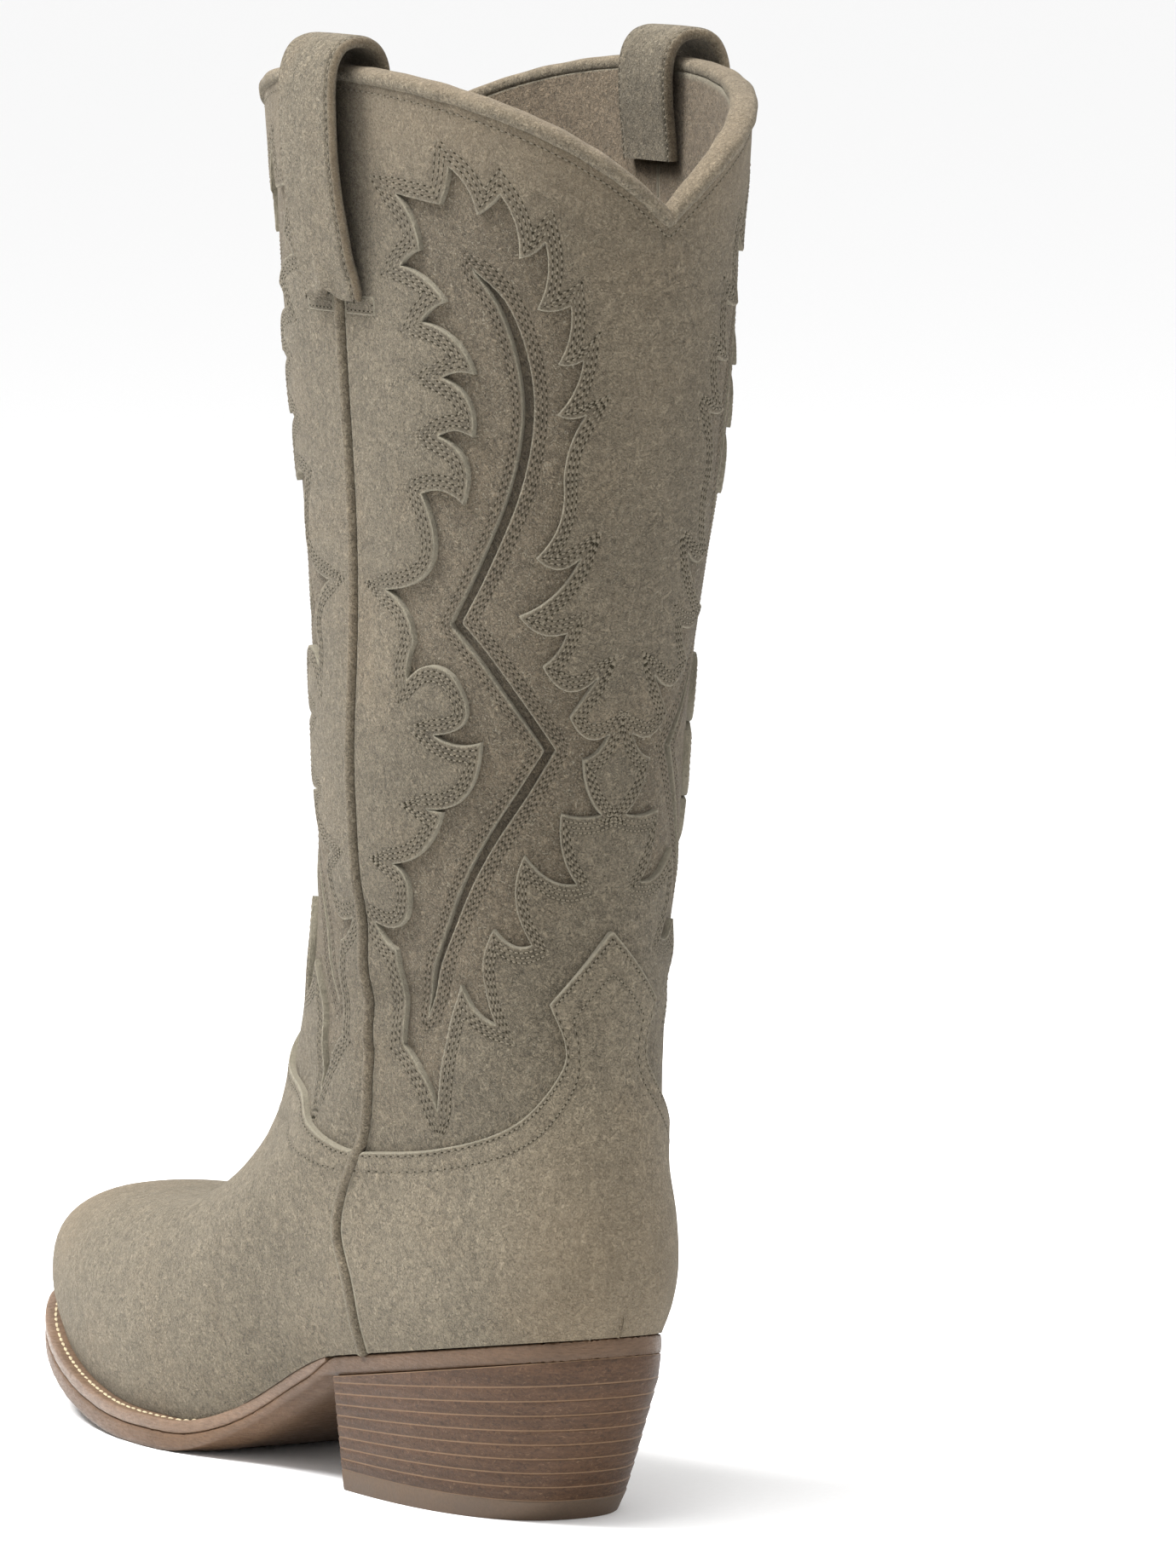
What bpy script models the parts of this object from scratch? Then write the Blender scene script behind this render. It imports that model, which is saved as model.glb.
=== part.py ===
"""Left cowboy boot: a pull-on western boot, modelled as the sewn, lasted and nailed pieces it is made of.

Run it with: blender --background --python part.py
Metres, +Z up. The toe points to -Y and the outer side of the foot is +X. The origin is on the floor, under
the middle of the boot's box.

The leather pieces lie on one surface, the skin. A place on it has two coordinates: around, from 0 at the back
through 0.25 at the outer side seam and 0.5 at the front to 0.75 at the inner seam, and up, which counts the
rings that shape the skin, from 0 at the edge of the sole to about 13 at the top line. Each piece of leather
has an outline on the skin and an inner and an outer distance from it.
"""

import bisect
import functools
import math

import bmesh
import bpy
from mathutils import Vector
from mathutils.geometry import delaunay_2d_cdt

TAU = 2 * math.pi
GAP = 0.0003  # between pieces that touch
FRAME_SHIFT_Y = -0.0024  # brings the middle of the box over the origin
SEAMS = (0.25, 0.75)

# The skin's rings, from the edge of the sole to above the top line:
# back y, back z, front y, front z, half width at the heel, waist and ball, how much of the sole's bend the
# ring follows, how far its side seams stand back, how far its toe end leans to the inner side. None stands
# for the height of the sole line at that place.
RINGS = [
    (0.1255, None, -0.1440, None, 0.0312, 0.0285, 0.0365, 1.00, 0.46, 0.006),
    (0.1285, 0.0545, -0.1475, 0.0370, 0.0342, 0.0320, 0.0390, 0.95, 0.46, 0.006),
    (0.1302, 0.0635, -0.1420, 0.0465, 0.0358, 0.0345, 0.0405, 0.85, 0.44, 0.006),
    (0.1293, 0.0750, -0.1225, 0.0530, 0.0357, 0.0360, 0.0395, 0.70, 0.38, 0.006),
    (0.1265, 0.0870, -0.0965, 0.0550, 0.0348, 0.0365, 0.0370, 0.50, 0.36, 0.005),
    (0.1250, 0.0990, -0.0665, 0.0570, 0.0355, 0.0365, 0.0345, 0.30, 0.34, 0.004),
    (0.1227, 0.1120, -0.0375, 0.0680, 0.0358, 0.0368, 0.0337, 0.15, 0.30, 0.002),
    (0.1220, 0.1270, -0.0120, 0.0890, 0.0365, 0.0372, 0.0345, 0.05, 0.21, 0.001),
    (0.1225, 0.1460, 0.0045, 0.1245, 0.0375, 0.0382, 0.0365, 0.00, 0.10, 0.000),
    (0.1265, 0.1800, 0.0100, 0.1730, 0.0395, 0.0400, 0.0395, 0.00, 0.00, 0.000),
    (0.1345, 0.2200, 0.0080, 0.2180, 0.0420, 0.0420, 0.0420, 0.00, 0.00, 0.000),
    (0.1430, 0.2600, 0.0020, 0.2600, 0.0440, 0.0440, 0.0440, 0.00, 0.00, 0.000),
    (0.1495, 0.3000, -0.0050, 0.3000, 0.0460, 0.0460, 0.0460, 0.00, 0.00, 0.000),
    (0.1530, 0.3400, -0.0100, 0.3400, 0.0475, 0.0475, 0.0475, 0.00, 0.00, 0.000),
    (0.1550, 0.3800, -0.0130, 0.3800, 0.0485, 0.0485, 0.0485, 0.00, 0.00, 0.000),
]
SQUARENESS = 2.15  # of a ring: 2 is an ellipse
TOE_SQUARENESS = 2.6
BACK_SQUARENESS = 2.65  # round the heel
WIDTH_PLACES = (0.0, 0.12, 0.42, 0.72, 1.0)  # along a ring, for its half widths

# Distances of the leather layers from the skin, inner and outer
LINING = (-0.0053, -0.0042)
INLAY = (-0.0038, -0.0032)
PANEL = (-0.0027, -0.0017)
OVERLAY = (-0.0012, -0.0001)
STIFFENING = (-0.0034, -0.0004)
COVER = (0.0003, 0.0016)
SEAM_MARGIN = 0.0028  # from a side seam to the leather beside its piping
BUTT = 0.0002  # from a side seam to the lining
COVER_START = 0.08  # up, where the vamp and the counter come out of the sole
PIPING_START = 0.15
LINING_START = 0.7
LINING_BUTT = 0.03  # up, from the line where the vamp's lining meets the shaft's to each of them
STIFFENING_START = 0.5
STIFFENER_SPAN = 0.88  # share of the way to the side seams
PUFF_SPAN = 0.45
TUCK = 0.008  # of the shaft panels under the vamp and the counter

# Top line, piping and pull straps
SIDE_TOP = 0.3465  # height of the middle of the binding at the side seams
NOTCH_DEPTH = 0.0325
NOTCH_POWER = 2.1
BINDING_RADIUS = 0.0029
BINDING_OFFSET = -0.0026
PIPING_RADIUS = 0.0018
PIPING_OFFSET = -0.0002
STRAP_WIDTH = 0.025
STRAP_THICKNESS = 0.0024
# The side of a pull strap that faces the boot: offset from the skin and height, from outer to inner end
STRAP_PATH = [
    (0.0020, 0.2930), (0.0023, 0.3000), (0.0034, 0.3090), (0.0047, 0.3180), (0.0054, 0.3280),
    (0.0054, 0.3400), (0.0048, 0.3470), (0.0026, 0.3515), (-0.0010, 0.3528), (-0.0045, 0.3520),
    (-0.0067, 0.3490), (-0.0074, 0.3440), (-0.0072, 0.3380), (-0.0065, 0.3320), (-0.0059, 0.3270),
    (-0.0057, 0.3235),
]

# Sole and heel. A sole layer's place is its height above the sole line, lower and upper face.
BREAST_Y = 0.040  # front face of the heel
SEAT_SLOPE = 0.158
LIFT_SLOPE = 0.105  # of the heel's lifts at the top; the rand is the wedge between them and the seat
BREAST_SOLE_Z = 0.0335
TREAD = (-0.035, -0.050)  # the flat stretch that meets the floor, from back to front
TREAD_SOLE_Z = 0.0081  # SOLE_DROP and SOLE_THICKNESS together
TOE_Y = -0.150
TOE_SPRING = 0.0205
WELT = (-0.0030, -0.0006)
SOLE_THICKNESS = 0.0048
SOLE_DROP = 0.0033  # of the outsole's top under the sole line, in front of the waist
SEAT_DROP = 0.0005  # of the same at the heel
WAIST = (0.024, 0.040)  # stretch in which the outsole comes up to the upper
WELT_END_Y = 0.020
WELT_INSET = 0.007
WELT_REACH = 0.0060  # beyond the edge of the lasted upper
SEAT_REACH = 0.0014
REACH_Y = (0.0, 0.045)  # distance in front of the origin over which the sole widens
INSOLE = (-0.0003, 0.0022)
INSOLE_INSET = 0.0026
SOCK = (0.0026, 0.0046)
SOCK_INSET = 0.0062
CORK = (-0.0030, -0.0006)
CORK_Y = (-0.130, -0.046)
SHANK = (-0.0028, -0.0012)
SHANK_Y = (-0.042, 0.020)
SHANK_HALF_WIDTH = 0.007
RAND_THICKNESS = 0.0015
LIFTS = 8
TOP_PIECE_HEIGHT = 0.0052
HEEL_SEAT = (0.0306, 0.1262)  # half width and back y, at the top
HEEL_BASE = (0.0276, 0.1060)  # the same on the floor
HEEL_SQUARENESS = 2.45
NAIL_PLACES = [(0.016, 0.052), (-0.016, 0.052), (0.014, 0.086), (-0.014, 0.086)]
NAIL_RADIUS = 0.0010
NAIL_LENGTH = 0.0150
NAIL_RECESS = 0.0006

# The skin is cut into cells this size for meshing
BACK_COLUMNS = 8  # from a side seam to the middle
FRONT_COLUMNS = 10
ROWS = [*range(6), *(6 + i / 2 for i in range(6)), *range(9, len(RINGS))]  # up, closer round the ankle
# Places along the foot where the flat pieces of the sole bend. The heel seat is straight.
SOLE_BENDS = [-0.160, -0.140, -0.125, -0.110, -0.095, -0.080, -0.065, -0.050, -0.035, -0.020, -0.005,
              0.010, 0.024, 0.032, 0.040, 0.150]
ARC_STEPS = 2

# The flames: the corners of one window in a shaft overlay. Each has its share of the way from the middle of
# the panel to the side seam, its height in mm and the rise of the arc that leads to it, over its chord.
WINDOW = [
    (0.79, 319, 0.0), (0.72, 306, 0.1), (0.78, 302, -0.1), (0.65, 294, 0.1), (0.72, 289, -0.1),
    (0.57, 277, 0.15), (0.66, 276, -0.1), (0.57, 262, 0.2), (0.67, 262, -0.15), (0.59, 246, 0.25),
    (0.72, 248, -0.15), (0.85, 224, 0.4), (0.74, 212, 0.15), (0.76, 203, -0.1), (0.60, 204.5, 0.2),
    (0.66, 190, 0.5), (0.50, 189, -0.1), (0.69, 172, 0.25), (0.635, 171.5, 0.0), (0.83, 158, 0.15),
    (0.78, 153, 0.15), (0.94, 143, 0.3), (0.86, 137, -0.1), (0.875, 114, 0.05), (0.78, 99, 0.1),
    (0.64, 130, 0.05), (0.535, 121, -0.15), (0.49, 144, 0.15), (0.35, 140.5, -0.15), (0.36, 162, 0.2),
    (0.155, 155, -0.12), (0.22, 172, 0.15), (0.055, 171.5, -0.05), (0.145, 185, 0.12), (0.05, 191, -0.12),
    (0.21, 195.5, 0.2), (0.12, 205, 0.0), (0.315, 208, 0.25), (0.245, 216, -0.1), (0.40, 220, 0.15),
    (0.22, 234, -0.1), (0.36, 234, 0.2), (0.295, 252, -0.15), (0.24, 268, 0.1), (0.33, 268, 0.1),
    (0.26, 281, -0.1), (0.335, 280, 0.1), (0.305, 294, -0.1), (0.40, 293, 0.1), (0.38, 309, -0.1),
    (0.45, 305, 0.1), (0.50, 320, -0.1), (0.56, 315, 0.05), (0.635, 326, -0.1), (0.66, 317, 0.05),
]
# The slit in the panel under each window: its middle line, and its half width in mm at each point
SLIT = [
    (0.585, 302, 0.0), (0.50, 293, 1.2), (0.44, 279, 1.6), (0.42, 265, 1.6), (0.45, 248, 1.6),
    (0.53, 230, 1.5), (0.61, 217, 1.4), (0.51, 209, 1.5), (0.40, 199, 1.5), (0.27, 187, 1.4),
    (0.36, 177, 1.5), (0.50, 163, 1.4), (0.64, 146, 1.2), (0.74, 131, 0.8), (0.79, 121, 0.0),
]
INLAY_MARGIN = 7.0  # mm of backing round the slit
PANEL_ARC = 95.0  # mm from the middle of a panel to the side seam, for the slit's width
# The top lines of the counter and the vamp, from the middle to the side seam
COUNTER_TOP = [(0.0, 144), (0.15, 135), (0.305, 126.5), (0.257, 116), (0.312, 109), (0.52, 97.5),
               (0.79, 89.4), (1.0, 86)]
VAMP_TOP = [(0.0, 128), (0.2, 114), (0.45, 102), (0.67, 97), (0.77, 91.5), (0.92, 87), (1.0, 86)]

# Materials: colour, roughness, metallic
SUEDE = ("suede", (0.33, 0.28, 0.21), 0.95, 0.0)
SUEDE_DARK = ("suede_dark", (0.27, 0.22, 0.16), 0.95, 0.0)
SUEDE_LINING = ("suede_lining", (0.30, 0.25, 0.18), 0.95, 0.0)
SOLE_LEATHER = ("sole_leather", (0.34, 0.22, 0.13), 0.5, 0.0)
HEEL_LEATHER = ("heel_leather", (0.22, 0.14, 0.09), 0.6, 0.0)
RUBBER = ("heel_rubber", (0.25, 0.18, 0.12), 0.7, 0.0)
BOARD = ("board", (0.45, 0.36, 0.25), 0.9, 0.0)
CORK_FILL = ("cork", (0.40, 0.26, 0.14), 0.95, 0.0)
STEEL = ("steel", (0.6, 0.6, 0.6), 0.35, 1.0)


def clamp(value, low=0.0, high=1.0):
    return max(low, min(high, value))


def blend(value, low, high):
    """0 below low, 1 above high, and a smooth step between them."""
    t = clamp((value - low) / (high - low))
    return t * t * (3 - 2 * t)


def spline(values, place):
    """A smooth curve through the values, at a place counted in values."""
    i = int(clamp(math.floor(place), 0, len(values) - 2))
    t = place - i
    p1, p2 = values[i], values[i + 1]
    p0 = values[i - 1] if i else 2 * p1 - p2
    p3 = values[i + 2] if i + 2 < len(values) else 2 * p2 - p1
    return 0.5 * (
        2 * p1 + (p2 - p0) * t + (2 * p0 - 5 * p1 + 4 * p2 - p3) * t * t + (3 * p1 - p0 - 3 * p2 + p3) * t**3
    )


def sole_line(y):
    """Height of the top of the sole: a straight heel seat, the waist, the flat tread and the toe spring."""
    if y >= BREAST_Y:
        return BREAST_SOLE_Z + SEAT_SLOPE * (y - BREAST_Y)
    if y > TREAD[0]:
        length = BREAST_Y - TREAD[0]
        t = (y - TREAD[0]) / length
        rise = BREAST_SOLE_Z - TREAD_SOLE_Z
        return TREAD_SOLE_Z + rise * (3 * t * t - 2 * t**3) + SEAT_SLOPE * length * (t**3 - t * t)
    if y > TREAD[1]:
        return TREAD_SOLE_Z
    return TREAD_SOLE_Z + TOE_SPRING * ((TREAD[1] - y) / (TREAD[1] - TOE_Y)) ** 2


SHAPES = [
    (r[0], sole_line(r[0]) if r[1] is None else r[1], r[2], sole_line(r[2]) if r[3] is None else r[3]) + r[4:]
    for r in RINGS
]


def skin(around, up):
    """The point of the skin at these coordinates."""
    columns = [spline(column, up) for column in zip(*SHAPES)]
    back_y, back_z, front_y, front_z, heel, waist, ball, bend, stand_back, lean = columns
    angle = TAU * around - stand_back * math.sin(TAU * around)
    c, s = math.cos(angle), math.sin(angle)
    power = SQUARENESS + (TOE_SQUARENESS - SQUARENESS) * bend * blend(-c, 0.0, 0.6)
    power += (BACK_SQUARENESS - SQUARENESS) * bend * blend(c, 0.0, 0.6)
    radius = (abs(c) ** power + abs(s) ** power) ** (-1 / power)
    along = (1 - radius * c) / 2
    half_width = 0.0
    widths = (heel, heel, waist, ball, ball)
    for i in range(len(widths) - 1):
        if along <= WIDTH_PLACES[i + 1] or i == len(widths) - 2:
            t = blend(along, WIDTH_PLACES[i], WIDTH_PLACES[i + 1])
            half_width = widths[i] + (widths[i + 1] - widths[i]) * t
            break
    y = back_y + (front_y - back_y) * along
    straight = sole_line(back_y) + (sole_line(front_y) - sole_line(back_y)) * along
    z = back_z + (front_z - back_z) * along + bend * (sole_line(y) - straight)
    x = half_width * radius * s - lean * blend(along, 0.45, 1.0)
    return Vector((x, y, z))


def outward(around, up):
    step = 0.002
    across = skin(around + step, up) - skin(around - step, up)
    rise = skin(around, up + 5 * step) - skin(around, max(0, up - 5 * step))
    return rise.cross(across).normalized()


def lifted(around, up, offset):
    return skin(around, up) + outward(around, up) * offset


def up_at(around, height):
    """The up coordinate at which the skin reaches a height."""
    low, high = 0.0, len(RINGS) - 1.0
    for _ in range(24):
        middle = (low + high) / 2
        if skin(around, middle).z < height:
            low = middle
        else:
            high = middle
    return (low + high) / 2


def around_step(around, up, distance):
    """How far round the skin a distance in metres is, near this place."""
    step = 0.001
    return distance * 2 * step / (skin(around + step, up) - skin(around - step, up)).length


def middle_share(around):
    """0 at a side seam, 1 in the middle of the back or the front."""
    return min(abs((around % 1) - seam) for seam in SEAMS) / 0.25


def top_height(around):
    return SIDE_TOP - NOTCH_DEPTH * middle_share(around) ** NOTCH_POWER


def edge_height(around):
    """Height at which the leather stops under the binding."""
    share = middle_share(around)
    slope = NOTCH_DEPTH * NOTCH_POWER * share ** (NOTCH_POWER - 1) / (PANEL_ARC / 1000)
    return top_height(around) - (BINDING_RADIUS + GAP) * math.sqrt(1 + slope * slope)


def line_at(points, place):
    """The height in metres of a line of (share, height in mm) points."""
    for (x0, y0), (x1, y1) in zip(points, points[1:]):
        if (place - x0) * (place - x1) <= 0 and x0 != x1:
            return (y0 + (y1 - y0) * (place - x0) / (x1 - x0)) / 1000
    return points[-1][1] / 1000


def arcs(corners, steps=ARC_STEPS):
    """A closed outline with an arc to each corner from the one before it."""
    points = []
    for i, (x1, y1, rise) in enumerate(corners):
        x0, y0, _ = corners[i - 1]
        dx, dy = (x1 - x0) * PANEL_ARC, y1 - y0
        count = steps if rise else 1
        for k in range(1, count + 1):
            t = k / count
            bow = 4 * rise * t * (1 - t)
            points.append((x0 + (dx * t + dy * bow) / PANEL_ARC, y0 + dy * t - dx * bow))
    return points


def slit_outline(margin):
    """The slit's two edges as one outline, margin mm wider all round."""
    sides = [[], []]
    for i, (x, y, half) in enumerate(SLIT):
        before, after = SLIT[max(i - 1, 0)], SLIT[min(i + 1, len(SLIT) - 1)]
        along = Vector(((after[0] - before[0]) * PANEL_ARC, after[1] - before[1])).normalized()
        end = (i == len(SLIT) - 1) - (i == 0)
        reach = half + margin
        for side, sign in zip(sides, (-1, 1)):
            side.append((x + (sign * reach * along.y + end * margin * along.x) / PANEL_ARC,
                         y - sign * reach * along.x + end * margin * along.y))
    if margin:
        return sides[0] + sides[1][::-1]
    return sides[0][:-1] + sides[1][:0:-1]


def inside(x, y, loops):
    crossings = 0
    for loop in loops:
        for (x0, y0), (x1, y1) in zip(loop, loop[1:] + loop[:1]):
            if (y0 > y) != (y1 > y) and x < x0 + (x1 - x0) * (y - y0) / (y1 - y0):
                crossings += 1
    return crossings % 2 == 1


def cut_faces(loops, columns, rows):
    """Triangles inside closed loops, which are also cut along straight columns and rows."""
    points, edges = [], []
    for loop in loops:
        first = len(points)
        points += [Vector(p) for p in loop]
        edges += [(first + i, first + (i + 1) % len(loop)) for i in range(len(loop))]
    xs = [p[0] for loop in loops for p in loop]
    ys = [p[1] for loop in loops for p in loop]
    lines = [((x, min(ys)), (x, max(ys))) for x in columns if min(xs) < x < max(xs)]
    lines += [((min(xs), y), (max(xs), y)) for y in rows if min(ys) < y < max(ys)]
    for line in lines:
        edges.append((len(points), len(points) + 1))
        points += [Vector(p) for p in line]
    points, _, faces, _, _, _ = delaunay_2d_cdt(points, edges, [], 0, 1e-7)
    kept = []
    for face in faces:
        middle = sum((points[i] for i in face), Vector((0, 0))) / len(face)
        if inside(middle.x, middle.y, loops):
            kept.append(face)
    return points, kept


def add(name, mesh, material, collection="boot"):
    mesh.materials.append(material_for(material))
    obj = bpy.data.objects.new(name, mesh)
    bpy.data.collections[collection].objects.link(obj)
    obj.parent = bpy.data.objects["boot_frame"]
    return obj


def material_for(look):
    name, colour, roughness, metallic = look
    material = bpy.data.materials.get(name)
    if material is None:
        material = bpy.data.materials.new(name)
        material.use_nodes = True
        shader = material.node_tree.nodes["Principled BSDF"]
        shader.inputs["Base Color"].default_value = (*colour, 1)
        shader.inputs["Roughness"].default_value = roughness
        shader.inputs["Metallic"].default_value = metallic
        material.diffuse_color = (*colour, 1)
    return material


def smooth(mesh):
    mesh.shade_smooth()
    mesh.set_sharp_from_angle(angle=math.radians(35))


def thick_sheet(name, material, points, faces, thickness):
    """An open surface whose faces point away from it, made thicker on that side."""
    used = sorted({i for face in faces for i in face})
    index = {old: new for new, old in enumerate(used)}
    mesh = bpy.data.meshes.new(name)
    mesh.from_pydata([points[i] for i in used], [], [[index[i] for i in face] for face in faces])
    smooth(mesh)
    obj = add(name, mesh, material)
    solidify = obj.modifiers.new("thickness", "SOLIDIFY")
    solidify.thickness = thickness
    solidify.offset = 1
    return obj


@functools.cache
def cell_corner(front, column, row, offset):
    around = 0.5 + 0.25 * column / FRONT_COLUMNS if front else 0.25 * column / BACK_COLUMNS
    return lifted(around, ROWS[row], offset)


def on_cells(front, share, up, offset):
    """A place on the flat cells that stand for the skin, so that all the layers bend along the same lines."""
    across = share * (FRONT_COLUMNS if front else BACK_COLUMNS)
    column = math.floor(across)
    row = bisect.bisect_right(ROWS, up) - 1
    rise = row + (up - ROWS[row]) / (ROWS[row + 1] - ROWS[row])
    low, high = (
        cell_corner(front, column, r, offset).lerp(cell_corner(front, column + 1, r, offset), across - column)
        for r in (row, row + 1)
    )
    return low.lerp(high, rise - row)


def leather(name, material, front, layer, loops):
    """A sewn piece, from loops of (share of the way to the side seam, up) points."""
    count = FRONT_COLUMNS if front else BACK_COLUMNS
    columns = [i / count for i in range(1 - count, count)]
    flat, faces = cut_faces(loops, columns, ROWS[1:-1])
    points = [on_cells(front, p.x, p.y, layer[0]) for p in flat]
    return thick_sheet(name, material, points, [face[::-1] for face in faces], layer[1] - layer[0])


def side_edge(front, side, up, margin):
    """The share at which a piece stops short of a side seam by a margin."""
    around = (0.5 if front else 0.0) + 0.25 * side
    return side * (1 - around_step(around, up, margin) / 0.25)


def piece_outline(front, low, high, margin, span=1.0):
    """The outline of a piece between two lines, each up as a function of share."""
    count = FRONT_COLUMNS if front else BACK_COLUMNS
    right = side_edge(front, 1, 5.0, margin) if span == 1.0 else span
    shares = [i / count for i in range(1 - count, count) if abs(i / count) < right - 0.01]
    if span == 1.0:
        ends = []
        for side in (1, -1):
            bottom, top = low(side), high(side)
            ups = [bottom, *(up for up in ROWS if bottom + 0.1 < up < top - 0.1), top]
            ends.append([(side_edge(front, side, up, margin), up) for up in ups])
        right_end, left_end = ends[0], ends[1][::-1]
    else:
        right_end = [(span, low(span)), (span, high(span))]
        left_end = [(-span, high(-span)), (-span, low(-span))]
    bottom_line = [(share, low(share)) for share in shares]
    top_line = [(share, high(share)) for share in reversed(shares)]
    return bottom_line + right_end + top_line + left_end


def on_panel(front, outline, side):
    """A (share, height in mm) outline as (share, up) points, on one side of a panel."""
    middle = 0.5 if front else 0.0
    return [(side * x, up_at(middle + 0.25 * side * x, y / 1000)) for x, y in outline]


def level(front, height):
    """up as a function of share, from a height as a function of share."""
    middle = 0.5 if front else 0.0
    return lambda share: up_at(middle + 0.25 * share, height(share))


def edge_level(front):
    middle = 0.5 if front else 0.0
    return lambda share: up_at(middle + 0.25 * share, edge_height(middle + 0.25 * share))


def constant(value):
    """The same up for every share."""
    return lambda share: value


def make_uppers():
    for front in (False, True):
        end = "front" if front else "back"
        foot_top = VAMP_TOP if front else COUNTER_TOP
        cover_top = level(front, lambda share: line_at(foot_top, abs(share)))
        tuck_line = level(front, lambda share: line_at(foot_top, abs(share)) - TUCK)
        top = edge_level(front)
        outline = piece_outline(front, tuck_line, top, SEAM_MARGIN)
        sides = (-1, 1)
        slits = [on_panel(front, slit_outline(0), side) for side in sides]
        windows = [on_panel(front, arcs(WINDOW), side) for side in sides]
        leather(f"shaft_{end}_panel", SUEDE_DARK, front, PANEL, [outline, *slits])
        leather(f"{end}_flame_overlay", SUEDE, front, OVERLAY, [outline, *windows])
        for side in sides:
            outer = (side > 0) != front
            patch = on_panel(front, slit_outline(INLAY_MARGIN), side)
            leather(f"{end}_inlay_{'outer' if outer else 'inner'}", SUEDE_DARK, front, INLAY, [patch])
        cover = piece_outline(front, constant(COVER_START), cover_top, SEAM_MARGIN)
        leather("vamp" if front else "heel_counter", SUEDE, front, COVER, [cover])
        shaft_low = constant(LINING_START)
        if front:
            foot = piece_outline(front, shaft_low, lambda share: tuck_line(share) - LINING_BUTT, BUTT)
            leather("vamp_lining", SUEDE_LINING, front, LINING, [foot])
            shaft_low = lambda share: tuck_line(share) + LINING_BUTT
        lining = piece_outline(front, shaft_low, top, BUTT)
        leather(f"{end}_lining", SUEDE_LINING, front, LINING, [lining])
    stiffener_top = lambda share: 4.3 - 2.2 * share**2
    stiffener = piece_outline(False, constant(STIFFENING_START), stiffener_top, 0, STIFFENER_SPAN)
    leather("counter_stiffener", BOARD, False, STIFFENING, [stiffener])
    puff_top = lambda share: 2.9 - 2.2 * (abs(share) / PUFF_SPAN) ** 3
    puff = piece_outline(True, constant(STIFFENING_START), puff_top, 0, PUFF_SPAN)
    leather("toe_puff", BOARD, True, STIFFENING, [puff])


def tube(name, material, points, radius, closed):
    curve = bpy.data.curves.new(name, "CURVE")
    curve.dimensions = "3D"
    spline_line = curve.splines.new("POLY")
    spline_line.points.add(len(points) - 1)
    for target, point in zip(spline_line.points, points):
        target.co = (*point, 1)
    spline_line.use_cyclic_u = closed
    curve.bevel_depth = radius
    curve.bevel_resolution = 2
    curve.use_fill_caps = True
    return add(name, curve, material)


def make_edgings():
    count = 6 * BACK_COLUMNS
    ring = []
    for i in range(count):
        around = i / count
        ring.append(lifted(around, up_at(around, top_height(around)), BINDING_OFFSET))
    tube("top_binding", SUEDE, ring, BINDING_RADIUS, True)
    for seam, name in zip(SEAMS, ("outer", "inner")):
        top = up_at(seam, edge_height(seam))
        steps = len(RINGS) + BACK_COLUMNS
        ups = [PIPING_START + (top - PIPING_START) * i / steps for i in range(steps + 1)]
        middle = [lifted(seam, up, PIPING_OFFSET) for up in ups]
        tube(f"side_piping_{name}", SUEDE, middle, PIPING_RADIUS, False)


def make_pull_strap(name, seam):
    columns = 4
    points, faces = [], []
    for offset, height in STRAP_PATH:
        for i in range(columns + 1):
            up = up_at(seam, height)
            around = seam + around_step(seam, up, STRAP_WIDTH * (i / columns - 0.5))
            points.append(lifted(around, up_at(around, height), offset))
    for row in range(len(STRAP_PATH) - 1):
        for i in range(columns):
            corner = row * (columns + 1) + i
            faces.append((corner, corner + columns + 1, corner + columns + 2, corner + 1))
    thick_sheet(name, SUEDE, points, faces, STRAP_THICKNESS)


def foot_edge(reach, back_y=1.0, front_y=-1.0, steps=28):
    """The edge of the lasted upper between two places along the foot, moved outward by a reach.

    It runs from the outer side round the toe to the inner side, and all the way round when both places are
    beyond the ends of the foot. The reach is a length, or a function of y.
    """
    points = []
    for i in range(2 * steps):
        around = i / (2 * steps)
        p = skin(around, 0)
        across = skin(around + 0.002, 0) - skin(around - 0.002, 0)
        out = Vector((-across.y, across.x)).normalized()
        length = reach(p.y) if callable(reach) else reach
        if front_y <= p.y <= back_y:
            points.append((p.x + out.x * length, p.y + out.y * length))
    return points


def sole_reach(y):
    return SEAT_REACH + (WELT_REACH - SEAT_REACH) * blend(-y, *REACH_Y)


def below_sole_line(y, drop):
    """Height of a place at a distance straight down from the sole, which slopes."""
    step = 0.001
    slope = (sole_line(y + step) - sole_line(y - step)) / (2 * step)
    return sole_line(y) - drop * math.sqrt(1 + slope * slope)


def slab(name, material, loops, layer, drop=lambda y: 0.0):
    """A flat piece between two distances above the sole line, less a drop that may change along the foot.

    All the slabs bend at the same places.
    """
    flat, faces = cut_faces(loops, [], SOLE_BENDS[1:-1])
    points = []
    for p in flat:
        i = min(max(bisect.bisect_right(SOLE_BENDS, p.y) - 1, 0), len(SOLE_BENDS) - 2)
        y0, y1 = SOLE_BENDS[i], SOLE_BENDS[i + 1]
        z0, z1 = (below_sole_line(y, drop(y) - layer[0]) for y in (y0, y1))
        points.append(Vector((p.x, p.y, z0 + (z1 - z0) * (p.y - y0) / (y1 - y0))))
    return thick_sheet(name, material, points, faces, layer[1] - layer[0])


def sole_drop(y):
    """The outsole's top under the sole line: it comes up to the upper at the heel."""
    return SOLE_DROP + (SEAT_DROP - SOLE_DROP) * blend(y, *WAIST)


def stack_top(y):
    """Underside of the outsole at the heel, where the heel stack starts."""
    return below_sole_line(y, sole_drop(y) + SOLE_THICKNESS + GAP)


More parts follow.
